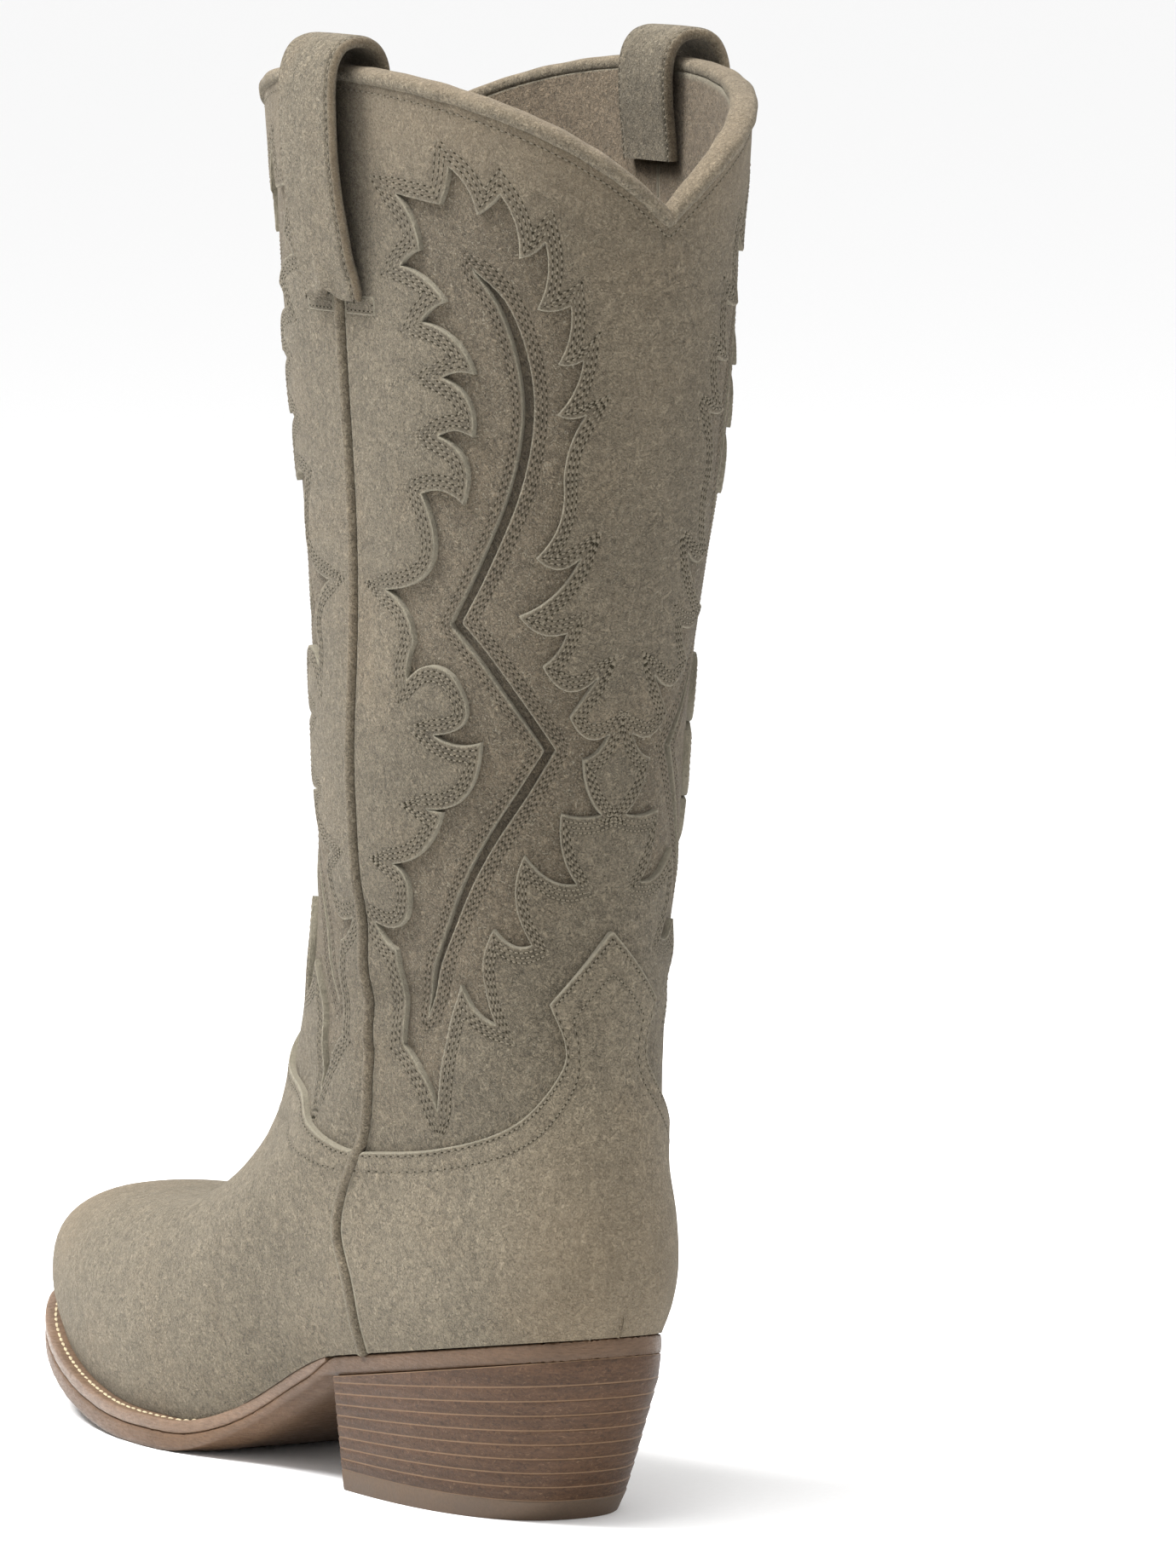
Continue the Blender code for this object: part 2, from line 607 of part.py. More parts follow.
def make_sole():
    slab("insole", BOARD, [foot_edge(-INSOLE_INSET)], INSOLE)
    slab("sock_lining", SUEDE_LINING, [foot_edge(-SOCK_INSET)], SOCK)
    welt = foot_edge(sole_reach, WELT_END_Y) + foot_edge(-WELT_INSET, WELT_END_Y)[::-1]
    slab("welt", SOLE_LEATHER, [welt], WELT)
    slab("cork_filler", CORK_FILL, [foot_edge(-WELT_INSET - GAP, CORK_Y[1], CORK_Y[0])], CORK)
    front_y, back_y = SHANK_Y
    shank = [(-SHANK_HALF_WIDTH, front_y), (SHANK_HALF_WIDTH, front_y),
             (SHANK_HALF_WIDTH, back_y), (-SHANK_HALF_WIDTH, back_y)]
    slab("shank", STEEL, [shank], SHANK)
    slab("outsole", SOLE_LEATHER, [foot_edge(sole_reach)], (-SOLE_THICKNESS, 0.0), sole_drop)


def heel_outline(depth, steps=8):
    """A flat front and a round back, at a depth from 0 at the seat to 1 on the floor."""
    half_width, back_y = [top + (low - top) * depth for top, low in zip(HEEL_SEAT, HEEL_BASE)]
    points = []
    for i in range(2 * steps + 1):
        angle = math.pi * (i / (2 * steps) - 0.5)
        x = half_width * math.copysign(abs(math.sin(angle)) ** (2 / HEEL_SQUARENESS), angle)
        y = BREAST_Y + (back_y - BREAST_Y) * max(0.0, math.cos(angle)) ** (2 / HEEL_SQUARENESS)
        points.append((x, y))
    return points


def heel_layer(name, material, upper, lower):
    """A slice of the heel between two heights, each a function of y."""
    mesh = bpy.data.meshes.new(name)
    shape = bmesh.new()
    rings = []
    for height in (upper, lower):
        depth = 1 - height(BREAST_Y) / stack_top(BREAST_Y)
        rings.append([shape.verts.new((x, y, height(y))) for x, y in heel_outline(depth)])
    count = len(rings[0])
    shape.faces.new(rings[0][::-1])
    shape.faces.new(rings[1])
    for i in range(count):
        j = (i + 1) % count
        shape.faces.new((rings[0][i], rings[0][j], rings[1][j], rings[1][i]))
    bmesh.ops.recalc_face_normals(shape, faces=shape.faces)
    shape.to_mesh(mesh)
    shape.free()
    smooth(mesh)
    return add(name, mesh, material)


def post(name, material, places, radius, bottom, top, collection="boot"):
    """Upright round bars from one height to another, as one mesh."""
    mesh = bpy.data.meshes.new(name)
    shape = bmesh.new()
    for x, y in places:
        made = bmesh.ops.create_cone(shape, cap_ends=True, segments=10, radius1=radius, radius2=radius,
                                     depth=top - bottom)
        bmesh.ops.translate(shape, verts=made["verts"], vec=(x, y, (top + bottom) / 2))
    shape.to_mesh(mesh)
    shape.free()
    smooth(mesh)
    return add(name, mesh, material, collection)


def rand_bottom(y):
    return stack_top(BREAST_Y) - RAND_THICKNESS + LIFT_SLOPE * (y - BREAST_Y)


def make_heel():
    heel_layer("heel_rand", HEEL_LEATHER, stack_top, rand_bottom)

    def cut_height(share):
        return lambda y: rand_bottom(y) + (TOP_PIECE_HEIGHT - rand_bottom(y)) * share

    nailed = []
    for i in range(LIFTS):
        upper, lower = cut_height(i / LIFTS), cut_height((i + 1) / LIFTS)
        lift = heel_layer(f"heel_lift_{i + 1}", HEEL_LEATHER, lambda y: upper(y) - GAP, lower)
        if lower(NAIL_PLACES[0][1]) < NAIL_RECESS + NAIL_LENGTH + GAP:
            nailed.append(lift)
    nailed.append(heel_layer("heel_top_piece", RUBBER, lambda y: TOP_PIECE_HEIGHT - GAP, lambda y: 0.0))
    holes = post("nail_holes", STEEL, NAIL_PLACES, NAIL_RADIUS + GAP, -0.001,
                 NAIL_RECESS + NAIL_LENGTH + GAP, "cutters")
    holes.hide_render = True
    holes.display_type = "WIRE"
    for piece in nailed:
        cut = piece.modifiers.new("nail holes", "BOOLEAN")
        cut.operation = "DIFFERENCE"
        cut.object = holes
    for i, place in enumerate(NAIL_PLACES):
        post(f"heel_nail_{i + 1}", STEEL, [place], NAIL_RADIUS, NAIL_RECESS, NAIL_RECESS + NAIL_LENGTH)


def main():
    for obj in list(bpy.data.objects):
        bpy.data.objects.remove(obj, do_unlink=True)
    for name in ("boot", "cutters"):
        bpy.context.scene.collection.children.link(bpy.data.collections.new(name))
    frame = bpy.data.objects.new("boot_frame", None)
    frame.location = (0, FRAME_SHIFT_Y, 0)
    bpy.data.collections["boot"].objects.link(frame)
    make_uppers()
    make_edgings()
    for seam, name in zip(SEAMS, ("outer", "inner")):
        make_pull_strap(f"pull_strap_{name}", seam)
    make_sole()
    make_heel()


main()
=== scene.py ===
"""The looks of the left cowboy boot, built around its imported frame. Metres, +Z up, the toe points to -Y.

The leather lies on the same surface as in the design, the skin, whose places have two coordinates: around,
from 0 at the back through 0.25 at the outer side seam and 0.5 at the front to 0.75 at the inner seam, and up,
which counts the rings that shape it. A pattern piece is drawn flat, in mm: across from the middle of the back
or the front, and high. Its outline has the leather on its left.
"""

import math

import bmesh
import bpy
import numpy as np
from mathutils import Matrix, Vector
from mathutils.geometry import delaunay_2d_cdt
from mathutils.kdtree import KDTree


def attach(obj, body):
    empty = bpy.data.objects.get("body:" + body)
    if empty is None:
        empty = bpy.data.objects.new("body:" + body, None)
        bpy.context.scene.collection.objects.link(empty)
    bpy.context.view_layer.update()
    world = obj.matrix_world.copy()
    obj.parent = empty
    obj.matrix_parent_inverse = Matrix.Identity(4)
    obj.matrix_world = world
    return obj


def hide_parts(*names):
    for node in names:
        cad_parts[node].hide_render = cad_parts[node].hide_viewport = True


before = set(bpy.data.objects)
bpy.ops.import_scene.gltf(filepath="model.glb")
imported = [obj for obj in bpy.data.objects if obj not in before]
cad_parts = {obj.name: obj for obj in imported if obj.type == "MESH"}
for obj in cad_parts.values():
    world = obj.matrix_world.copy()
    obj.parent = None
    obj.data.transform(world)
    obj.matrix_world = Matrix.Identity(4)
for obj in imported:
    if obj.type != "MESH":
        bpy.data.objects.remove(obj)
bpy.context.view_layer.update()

TAU = 2 * math.pi
MM = 0.001
FRAME_SHIFT_Y = -0.0024  # from the skin's own origin to the frame's
SEAMS = (0.25, 0.75)

# The skin's rings, as in the design: back y, back z, front y, front z, half width at the heel, waist and
# ball, how much of the sole's bend the ring follows, how far its side seams stand back, how far its toe
# end leans. None is the height of the sole line there.
RINGS = [
    (0.1255, None, -0.1440, None, 0.0312, 0.0285, 0.0365, 1.00, 0.46, 0.006),
    (0.1285, 0.0545, -0.1475, 0.0370, 0.0342, 0.0320, 0.0390, 0.95, 0.46, 0.006),
    (0.1302, 0.0635, -0.1420, 0.0465, 0.0358, 0.0345, 0.0405, 0.85, 0.44, 0.006),
    (0.1293, 0.0750, -0.1225, 0.0530, 0.0357, 0.0360, 0.0395, 0.70, 0.38, 0.006),
    (0.1265, 0.0870, -0.0965, 0.0550, 0.0348, 0.0365, 0.0370, 0.50, 0.36, 0.005),
    (0.1250, 0.0990, -0.0665, 0.0570, 0.0355, 0.0365, 0.0345, 0.30, 0.34, 0.004),
    (0.1227, 0.1120, -0.0375, 0.0680, 0.0358, 0.0368, 0.0337, 0.15, 0.30, 0.002),
    (0.1220, 0.1270, -0.0120, 0.0890, 0.0365, 0.0372, 0.0345, 0.05, 0.21, 0.001),
    (0.1225, 0.1460, 0.0045, 0.1245, 0.0375, 0.0382, 0.0365, 0.00, 0.10, 0.000),
    (0.1265, 0.1800, 0.0100, 0.1730, 0.0395, 0.0400, 0.0395, 0.00, 0.00, 0.000),
    (0.1345, 0.2200, 0.0080, 0.2180, 0.0420, 0.0420, 0.0420, 0.00, 0.00, 0.000),
    (0.1430, 0.2600, 0.0020, 0.2600, 0.0440, 0.0440, 0.0440, 0.00, 0.00, 0.000),
    (0.1495, 0.3000, -0.0050, 0.3000, 0.0460, 0.0460, 0.0460, 0.00, 0.00, 0.000),
    (0.1530, 0.3400, -0.0100, 0.3400, 0.0475, 0.0475, 0.0475, 0.00, 0.00, 0.000),
    (0.1550, 0.3800, -0.0130, 0.3800, 0.0485, 0.0485, 0.0485, 0.00, 0.00, 0.000),
]
SQUARENESS = 2.15
TOE_SQUARENESS = 2.6
BACK_SQUARENESS = 2.65
WIDTH_PLACES = (0.12, 0.42, 0.72)

# Distances of the leather layers from the skin in mm, inner and outer. The layers lie on each other.
LINING = (-5.3, -4.1)
INLAY = (-4.1, -3.4)
PANEL = (-3.4, -1.7)
OVERLAY = (-1.75, -0.1)
COVER = (-0.15, 1.6)

SIDE_TOP = 346.5  # mm, height of the middle of the binding at the side seams
NOTCH_DEPTH = 32.5
NOTCH_POWER = 2.1
BINDING_OFFSET = -2.35
BINDING_HALF = (3.35, 2.05)  # half thickness and half height of the rolled binding
PIPING_RADIUS = 1.55
STRAP_WIDTH = 25.0
STRAP_THICKNESS = 2.9
STRAP_SEAM = 1.25  # mm inside both edges, with a groove along it
STRAP_GROOVE = 0.42
# The side of a pull strap that faces the boot: offset from the skin and height in mm, from its outer end
STRAP_PATH = [
    (2.0, 293.0), (2.3, 300.0), (3.4, 309.0), (4.7, 318.0), (5.4, 328.0),
    (5.4, 340.0), (4.8, 347.0), (2.6, 351.5),
    (-1.0, 352.8), (-4.5, 352.0), (-6.7, 349.0), (-7.4, 344.0), (-7.2, 338.0), (-6.5, 332.0), (-5.9, 327.0),
    (-5.7, 323.5),
]

BREAST_Y = 0.040
SEAT_SLOPE = 0.158
LIFT_SLOPE = 0.105
BREAST_SOLE_Z = 0.0335
TREAD = (-0.035, -0.050)
TREAD_SOLE_Z = 0.0081
TOE_Y = -0.150
TOE_SPRING = 0.0205
WELT_TOP = 0.0001  # under the sole line
SOLE_THICKNESS = 0.0048
SOLE_DROP = 0.0033
SEAT_DROP = 0.0005
WAIST = (0.024, 0.040)
WELT_END_Y = 0.036
WELT_REACH = 0.0060
SEAT_REACH = 0.0014
REACH_Y = (0.0, 0.045)
SOCK = (0.0026, 0.0046)
SOCK_INSET = 0.0062
RAND_THICKNESS = 0.0015
LIFTS = 8
TOP_PIECE_HEIGHT = 0.0052
HEEL_SEAT = (0.0306, 0.1262)
HEEL_BASE = (0.0276, 0.1060)
HEEL_SQUARENESS = 2.45
NAIL_PLACES = [(0.016, 0.052), (-0.016, 0.052), (0.014, 0.086), (-0.014, 0.086)]
NAIL_HOLE = 0.0013

# The flames: the corners of one window in a shaft overlay, as its share of the way to the side seam, its
# height in mm, and the rise of the arc that leads to it over its chord
WINDOW = [
    (0.79, 319, 0.0), (0.72, 306, 0.1), (0.78, 302, -0.1), (0.65, 294, 0.1), (0.72, 289, -0.1),
    (0.57, 277, 0.15), (0.66, 276, -0.1), (0.57, 262, 0.2), (0.67, 262, -0.15), (0.59, 246, 0.25),
    (0.72, 248, -0.15), (0.85, 224, 0.4), (0.74, 212, 0.15), (0.76, 203, -0.1), (0.60, 204.5, 0.2),
    (0.66, 190, 0.5), (0.50, 189, -0.1), (0.69, 172, 0.25), (0.635, 171.5, 0.0), (0.83, 158, 0.15),
    (0.78, 153, 0.15), (0.94, 143, 0.3), (0.86, 137, -0.1), (0.875, 114, 0.05), (0.78, 99, 0.1),
    (0.64, 130, 0.05), (0.535, 121, -0.15), (0.49, 144, 0.15), (0.35, 140.5, -0.15), (0.36, 162, 0.2),
    (0.155, 155, -0.12), (0.22, 172, 0.15), (0.055, 171.5, -0.05), (0.145, 185, 0.12), (0.05, 191, -0.12),
    (0.21, 195.5, 0.2), (0.12, 205, 0.0), (0.315, 208, 0.25), (0.245, 216, -0.1), (0.40, 220, 0.15),
    (0.22, 234, -0.1), (0.36, 234, 0.2), (0.295, 252, -0.15), (0.24, 268, 0.1), (0.33, 268, 0.1),
    (0.26, 281, -0.1), (0.335, 280, 0.1), (0.305, 294, -0.1), (0.40, 293, 0.1), (0.38, 309, -0.1),
    (0.45, 305, 0.1), (0.50, 320, -0.1), (0.56, 315, 0.05), (0.635, 326, -0.1), (0.66, 317, 0.05),
]
# The slit in the panel under each window: its middle line and half width in mm, and its corners by number
SLIT = [
    (0.585, 302, 0.0), (0.50, 293, 1.2), (0.44, 279, 1.6), (0.42, 265, 1.6), (0.45, 248, 1.6),
    (0.53, 230, 1.5), (0.61, 217, 1.4), (0.51, 209, 1.5), (0.40, 199, 1.5), (0.27, 187, 1.4),
    (0.36, 177, 1.5), (0.50, 163, 1.4), (0.64, 146, 1.2), (0.74, 131, 0.8), (0.79, 121, 0.0),
]
SLIT_CORNERS = (0, 6, 9, 14)
PANEL_ARC = 95.0  # mm from the middle of a panel to its side seam
# The top lines of the counter and the vamp, from the middle to the side seam, and their corners by number
COUNTER_TOP = [(0.0, 144), (0.15, 135), (0.305, 126.5), (0.257, 116), (0.312, 109), (0.52, 97.5),
               (0.79, 89.4), (1.0, 86)]
COUNTER_CORNERS = (0, 2, 7)
VAMP_TOP = [(0.0, 128), (0.2, 114), (0.45, 102), (0.67, 97), (0.77, 91.5), (0.92, 87), (1.0, 86)]
VAMP_CORNERS = (0, 6)
PEAK_FOOT = 108.0  # the shaft's leather ends below the foot of the counter's peak
COVER_START = -0.03  # up, where the leather goes into the seam of the welt
UP_MM = 12.0  # flat mm to one ring, on the foot

# Stitching, in mm
ROWS = (1.3, 2.5, 3.7)  # from an edge of the shaft's leather
FOOT_ROWS = (1.1, 6.0)  # from the top line of the vamp and the counter
PITCH = 1.9
GROOVE = 0.16
GROOVE_WIDTH = 0.42
EDGE_ROUND = 0.45
FAR = 9.0  # stands for any greater distance from an edge or a seam
CUT = 1.9  # from a piece of leather to the middle of the side seam


def linked(name, data):
    """An object with this data, in the scene."""
    obj = bpy.data.objects.new(name, data)
    bpy.context.scene.collection.objects.link(obj)
    return obj


def clamp(value, low=0.0, high=1.0):
    return np.minimum(np.maximum(value, low), high)


def blend(value, low, high):
    """0 below low, 1 above high, and a smooth step between them."""
    t = clamp((value - low) / (high - low))
    return t * t * (3 - 2 * t)


def between(p0, p1, p2, p3, t):
    """A smooth curve from p1 to p2, with the points before and after them."""
    return 0.5 * (2 * p1 + (p2 - p0) * t + (2 * p0 - 5 * p1 + 4 * p2 - p3) * t * t
                  + (3 * p1 - p0 - 3 * p2 + p3) * t**3)


def through(points, steps):
    """A smooth line through points, with a number of steps between each two."""
    p = np.asarray(points, float)
    p = np.concatenate([[2 * p[0] - p[1]], p, [2 * p[-1] - p[-2]]])
    t = (np.arange(steps) / steps)[:, None]
    parts = [between(p[i - 1], p[i], p[i + 1], p[i + 2], t) for i in range(1, len(p) - 2)]
    return np.concatenate([*parts, p[-2:-1]])


def spaced(line, step, closed=False):
    """Points along a line at about equal steps, from its first point to its last."""
    line = np.asarray(line, float)
    if closed:
        line = np.concatenate([line, line[:1]])
    lengths = np.concatenate([[0], np.cumsum(np.linalg.norm(np.diff(line, axis=0), axis=1))])
    count = max(1, round(lengths[-1] / step))
    places = np.linspace(0, lengths[-1], count + 1)
    if closed:
        places = places[:-1]
    return np.stack([np.interp(places, lengths, column) for column in line.T], axis=1)


# ---------------------------------------------------------------- the skin


def sole_line(y):
    """Height of the top of the sole: a straight heel seat, the waist, the flat tread and the toe spring."""
    y = np.asarray(y, float)
    length = BREAST_Y - TREAD[0]
    t = clamp((y - TREAD[0]) / length)
    rise = BREAST_SOLE_Z - TREAD_SOLE_Z
    waist = TREAD_SOLE_Z + rise * (3 * t * t - 2 * t**3) + SEAT_SLOPE * length * (t**3 - t * t)
    seat = SEAT_SLOPE * np.maximum(y - BREAST_Y, 0)
    return waist + seat + TOE_SPRING * (np.maximum(TREAD[1] - y, 0) / (TREAD[1] - TOE_Y)) ** 2


SHAPES = np.array([
    (r[0], sole_line(r[0]) if r[1] is None else r[1], r[2], sole_line(r[2]) if r[3] is None else r[3]) + r[4:]
    for r in RINGS
], float)
PADDED = np.concatenate([[2 * SHAPES[0] - SHAPES[1]], SHAPES, [2 * SHAPES[-1] - SHAPES[-2]]])


def skin(around, up):
    """Points of the skin."""
    around, up = np.broadcast_arrays(np.asarray(around, float), np.asarray(up, float))
    i = clamp(np.floor(up), 0, len(SHAPES) - 2).astype(int)
    t = (up - i)[..., None]
    ring = between(*(PADDED[i + k] for k in range(4)), t)
    back_y, back_z, front_y, front_z, heel, waist, ball, bend, stand_back, lean = np.moveaxis(ring, -1, 0)
    angle = TAU * around - stand_back * np.sin(TAU * around)
    c, s = np.cos(angle), np.sin(angle)
    power = SQUARENESS + (TOE_SQUARENESS - SQUARENESS) * bend * blend(-c, 0.0, 0.6)
    power = power + (BACK_SQUARENESS - SQUARENESS) * bend * blend(c, 0.0, 0.6)
    radius = (np.abs(c) ** power + np.abs(s) ** power) ** (-1 / power)
    along = (1 - radius * c) / 2
    half_width = (heel + (waist - heel) * blend(along, *WIDTH_PLACES[:2])
                  + (ball - waist) * blend(along, *WIDTH_PLACES[1:]))
    y = back_y + (front_y - back_y) * along
    straight = sole_line(back_y) + (sole_line(front_y) - sole_line(back_y)) * along
    z = back_z + (front_z - back_z) * along + bend * (sole_line(y) - straight)
    x = half_width * radius * s - lean * blend(along, 0.45, 1.0)
    return np.stack([x, y, z], axis=-1)


def unit(vectors):
    return vectors / np.maximum(np.linalg.norm(vectors, axis=-1, keepdims=True), 1e-12)


def outward(around, up):
    step = 0.002
    across = skin(around + step, up) - skin(around - step, up)
    rise = skin(around, up + 5 * step) - skin(around, np.maximum(0, up - 5 * step))
    return unit(np.cross(rise, across))


def ripple(around, up):
    """Soft dents of leather long in use, in mm, the same for every layer, and none at the sole and the top
    line.
    """
    a = TAU * around
    fade = blend(up, 3.5, 6.5) * (1 - blend(up, 11.8, 12.9))
    folds = (np.sin(2 * a + 1.9 * up + 0.4) + 0.7 * np.sin(3 * a - 2.7 * up + 2.1)
             + 0.5 * np.sin(7 * a + 1.1 * up))
    ankle = np.exp(-((up - 7.7) / 0.9) ** 2) * np.sin(9 * up + 2 * np.cos(a)) * (0.5 - 0.5 * np.cos(2 * a))
    return fade * (0.45 * folds + 0.5 * ankle)


def lifted(around, up, offset):
    """Points at an offset in mm from the skin, in the frame's place."""
    around, up = np.broadcast_arrays(np.asarray(around, float), np.asarray(up, float))
    offset = np.asarray(offset, float) + ripple(around, up)
    return skin(around, up) + outward(around, up) * (offset * MM)[..., None] + (0, FRAME_SHIFT_Y, 0)


def up_at(around, height):
    """The up coordinate at which the skin reaches a height in mm."""
    around, height = np.broadcast_arrays(np.asarray(around, float), np.asarray(height, float) * MM)
    low, high = np.zeros(around.shape), np.full(around.shape, len(RINGS) - 1.0)
    for _ in range(22):
        middle = (low + high) / 2
        under = skin(around, middle)[..., 2] < height
        low, high = np.where(under, middle, low), np.where(under, high, middle)
    return (low + high) / 2


def around_step(around, up, distance):
    """How far round the skin a distance in mm is, near this place."""
    step = 0.001
    width = np.linalg.norm(skin(around + step, up) - skin(around - step, up), axis=-1)
    return distance * MM * 2 * step / width


def top_height(around):
    """Height of the middle of the binding in mm."""
    share = np.minimum(np.abs(around % 1 - SEAMS[0]), np.abs(around % 1 - SEAMS[1])) / 0.25
    return SIDE_TOP - NOTCH_DEPTH * share**NOTCH_POWER


def shaft_place(front):
    """From flat points to places on the skin, for the shaft: across in mm and height in mm."""
    def place(flat):
        around = (0.5 if front else 0.0) + 0.25 * flat[:, 0] / PANEL_ARC
        return around, up_at(around, flat[:, 1])
    return place


def foot_place(front):
    """The same for the foot, where the second flat coordinate is up in steps of UP_MM."""
    def place(flat):
        return (0.5 if front else 0.0) + 0.25 * flat[:, 0] / PANEL_ARC, flat[:, 1] / UP_MM
    return place


# ---------------------------------------------------------------- meshes


def piece(name, points, faces, looks, replaces=(), attributes=None, material_of=None):
    """A finished piece of the boot."""
    mesh = bpy.data.meshes.new(name)
    mesh.from_pydata(np.asarray(points, float).tolist(), [], [list(map(int, face)) for face in faces])
    for look in looks if isinstance(looks, (list, tuple)) else [looks]:
        mesh.materials.append(look)
    if material_of is not None:
        mesh.polygons.foreach_set("material_index", np.asarray(material_of, np.int32))
    for key, values in (attributes or {}).items():
        mesh.attributes.new(key, "FLOAT", "POINT").data.foreach_set("value", np.asarray(values, np.float32))
    mesh.shade_smooth()
    mesh.set_sharp_from_angle(angle=math.radians(50))
    obj = linked(name, mesh)
    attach(obj, "root")
    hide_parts(*replaces)
    return obj


def painted(count, wear_and_painted_light):
    """The values the suede looks read: mm to the cut edge, mm to the nearest seam, and from 0 to 1 how rubbed
    a place is, which also carries a painted highlight on the top of the binding and painted shade on the
    outsole.
    """
    return {"edge": np.full(count, FAR), "seam": np.full(count, FAR), "wear_and_painted_light": wear_and_painted_light + np.zeros(count)}


def distances(lines):
    """A function that gives the distance from flat points to the nearest of some lines."""
    samples = np.concatenate([spaced(line, 0.25) for line in lines]) if lines else np.array([[1e3, 1e3]])
    tree = KDTree(len(samples))
    for i, (x, y) in enumerate(samples):
        tree.insert((x, y, 0), i)
    tree.balance()
    return lambda flat: np.array([tree.find((x, y, 0))[2] for x, y in flat])


def closed(loop):
    return np.concatenate([loop, loop[:1]])


def inside(flat, loops):
    """Which points lie inside the outlines, by counting crossings."""
    odd = np.zeros(len(flat), bool)
    x, y = flat[:, 0], flat[:, 1]
    for loop in loops:
        for (x0, y0), (x1, y1) in zip(loop, np.roll(loop, -1, axis=0)):
            if y0 != y1:
                odd ^= ((y0 > y) != (y1 > y)) & (x < x0 + (x1 - x0) * (y - y0) / (y1 - y0))
    return odd


def moved_left(line, distance, ring=False, limit=2.0):
    """A line moved to its left, with mitred corners."""
    before = np.roll(line, 1, axis=0) if ring else np.concatenate([2 * line[:1] - line[1:2], line[:-1]])
    after = np.roll(line, -1, axis=0) if ring else np.concatenate([line[1:], 2 * line[-1:] - line[-2:-1]])
    n0, n1 = (unit(d)[:, ::-1] * (-1, 1) for d in (line - before, after - line))
    middle = unit(n0 + n1)
    reach = 1 / np.maximum(np.sum(middle * n0, axis=1, keepdims=True), 1 / limit)
    return line + middle * reach * distance


def mesh_points(loops, steps, fine, coarse):
    """Flat points inside outlines: in lines at some distances from the edges, and spread out between them."""
    edge = distances([closed(loop) for loop in loops])
    found = []
    for distance in steps:
        for loop in loops:
            inner_loop = moved_left(spaced(loop, fine, closed=True), distance, ring=True)
            candidates = spaced(inner_loop, fine, closed=True)
            near = edge(candidates)
            found.append(candidates[(near > 0.93 * distance) & (near < 1.3 * distance + 0.2)])
    low, high = np.min(np.concatenate(loops), axis=0), np.max(np.concatenate(loops), axis=0)
    rows = np.arange(low[1], high[1], coarse * 0.87)
    grid = np.array([(x, y) for k, y in enumerate(rows)
                     for x in np.arange(low[0] + (k % 2) * coarse / 2, high[0], coarse)])
    found.append(grid[edge(grid) > max(steps, default=0) + 0.6 * coarse])
    points = np.concatenate(found)
    cells = np.round(points / (0.45 * fine)).astype(int)
    _, kept = np.unique(cells, axis=0, return_index=True)
    points = points[np.sort(kept)]
    return points[inside(points, loops)]


def triangles(loops, inner):
    """Triangles that fill outlines, whose own points come first."""
    edges, first = [], 0
    for loop in loops:
        edges += [(first + i, first + (i + 1) % len(loop)) for i in range(len(loop))]
        first += len(loop)
    points = np.concatenate([*loops, inner]) if len(inner) else np.concatenate(loops)
    found = delaunay_2d_cdt([Vector(p) for p in points.tolist()], edges, [], 1, 1e-7)
    if len(found[0]) != len(points):
        print("an outline crosses itself:", len(found[0]) - len(points), "more points")
    faces = np.array([face for face in found[2] if max(face) < len(points)])
    rim = np.all(faces < first, axis=1)
    middles = points[faces].mean(axis=1)
    rim[rim] = ~inside(middles[rim], loops)
    return points, faces[~rim], first


def solid(loops, top, bottom, inner_top, inner_bottom, wall=()):
    """A closed solid between two surfaces over the same outlines.

    top and bottom turn flat points into points in space. The wall has extra rings between them, each with its
    share of the way up and how far it stands out, in the outline's own units. Gives the points, the faces and
    the flat places.
    """
    flat_top, faces_top, rim = triangles(loops, inner_top)
    flat_bottom, faces_bottom, _ = triangles(loops, inner_bottom)
    if np.sum(np.cross(*(flat_top[faces_top[:, k]] - flat_top[faces_top[:, 0]] for k in (1, 2)))) < 0:
        faces_top, faces_bottom = faces_top[:, ::-1], faces_bottom[:, ::-1]
    points = [top(flat_top), bottom(flat_bottom)]
    flats = [flat_top, flat_bottom]
    starts = [len(flat_top)]
    outline = np.concatenate(loops)
    out = np.concatenate([moved_left(loop, -1.0, ring=True) for loop in loops]) - outline
    first = len(flat_top) + len(flat_bottom)
    for share, reach in wall:
        place = outline + out * reach
        points.append(bottom(place) * (1 - share) + top(place) * share)
        flats.append(outline)
        starts.append(first)
        first += rim
    starts.append(0)
    faces = [*faces_top.tolist(), *(faces_bottom[:, ::-1] + len(flat_top)).tolist()]
    begin = 0
    for loop in loops:
        for i in range(len(loop)):
            a, b = begin + i, begin + (i + 1) % len(loop)
            for low, high in zip(starts, starts[1:]):
                faces.append((low + a, low + b, high + b, high + a))
        begin += len(loop)
    return np.concatenate(points), faces, np.concatenate(flats), len(flat_top)


def outward_faces(points, faces):
    """The faces, turned over if they enclose a negative volume."""
    points = np.asarray(points)
    corners = np.array([face[:3] for face in faces])
    quads = np.array([(f[0], f[2], f[3]) for f in faces if len(f) == 4]).reshape(-1, 3)
    corners = np.concatenate([corners, quads])
    a, b, c = (points[corners[:, k]] for k in range(3))
    volume = np.sum(a * np.cross(b, c))
    return [tuple(face)[::-1] for face in faces] if volume < 0 else faces


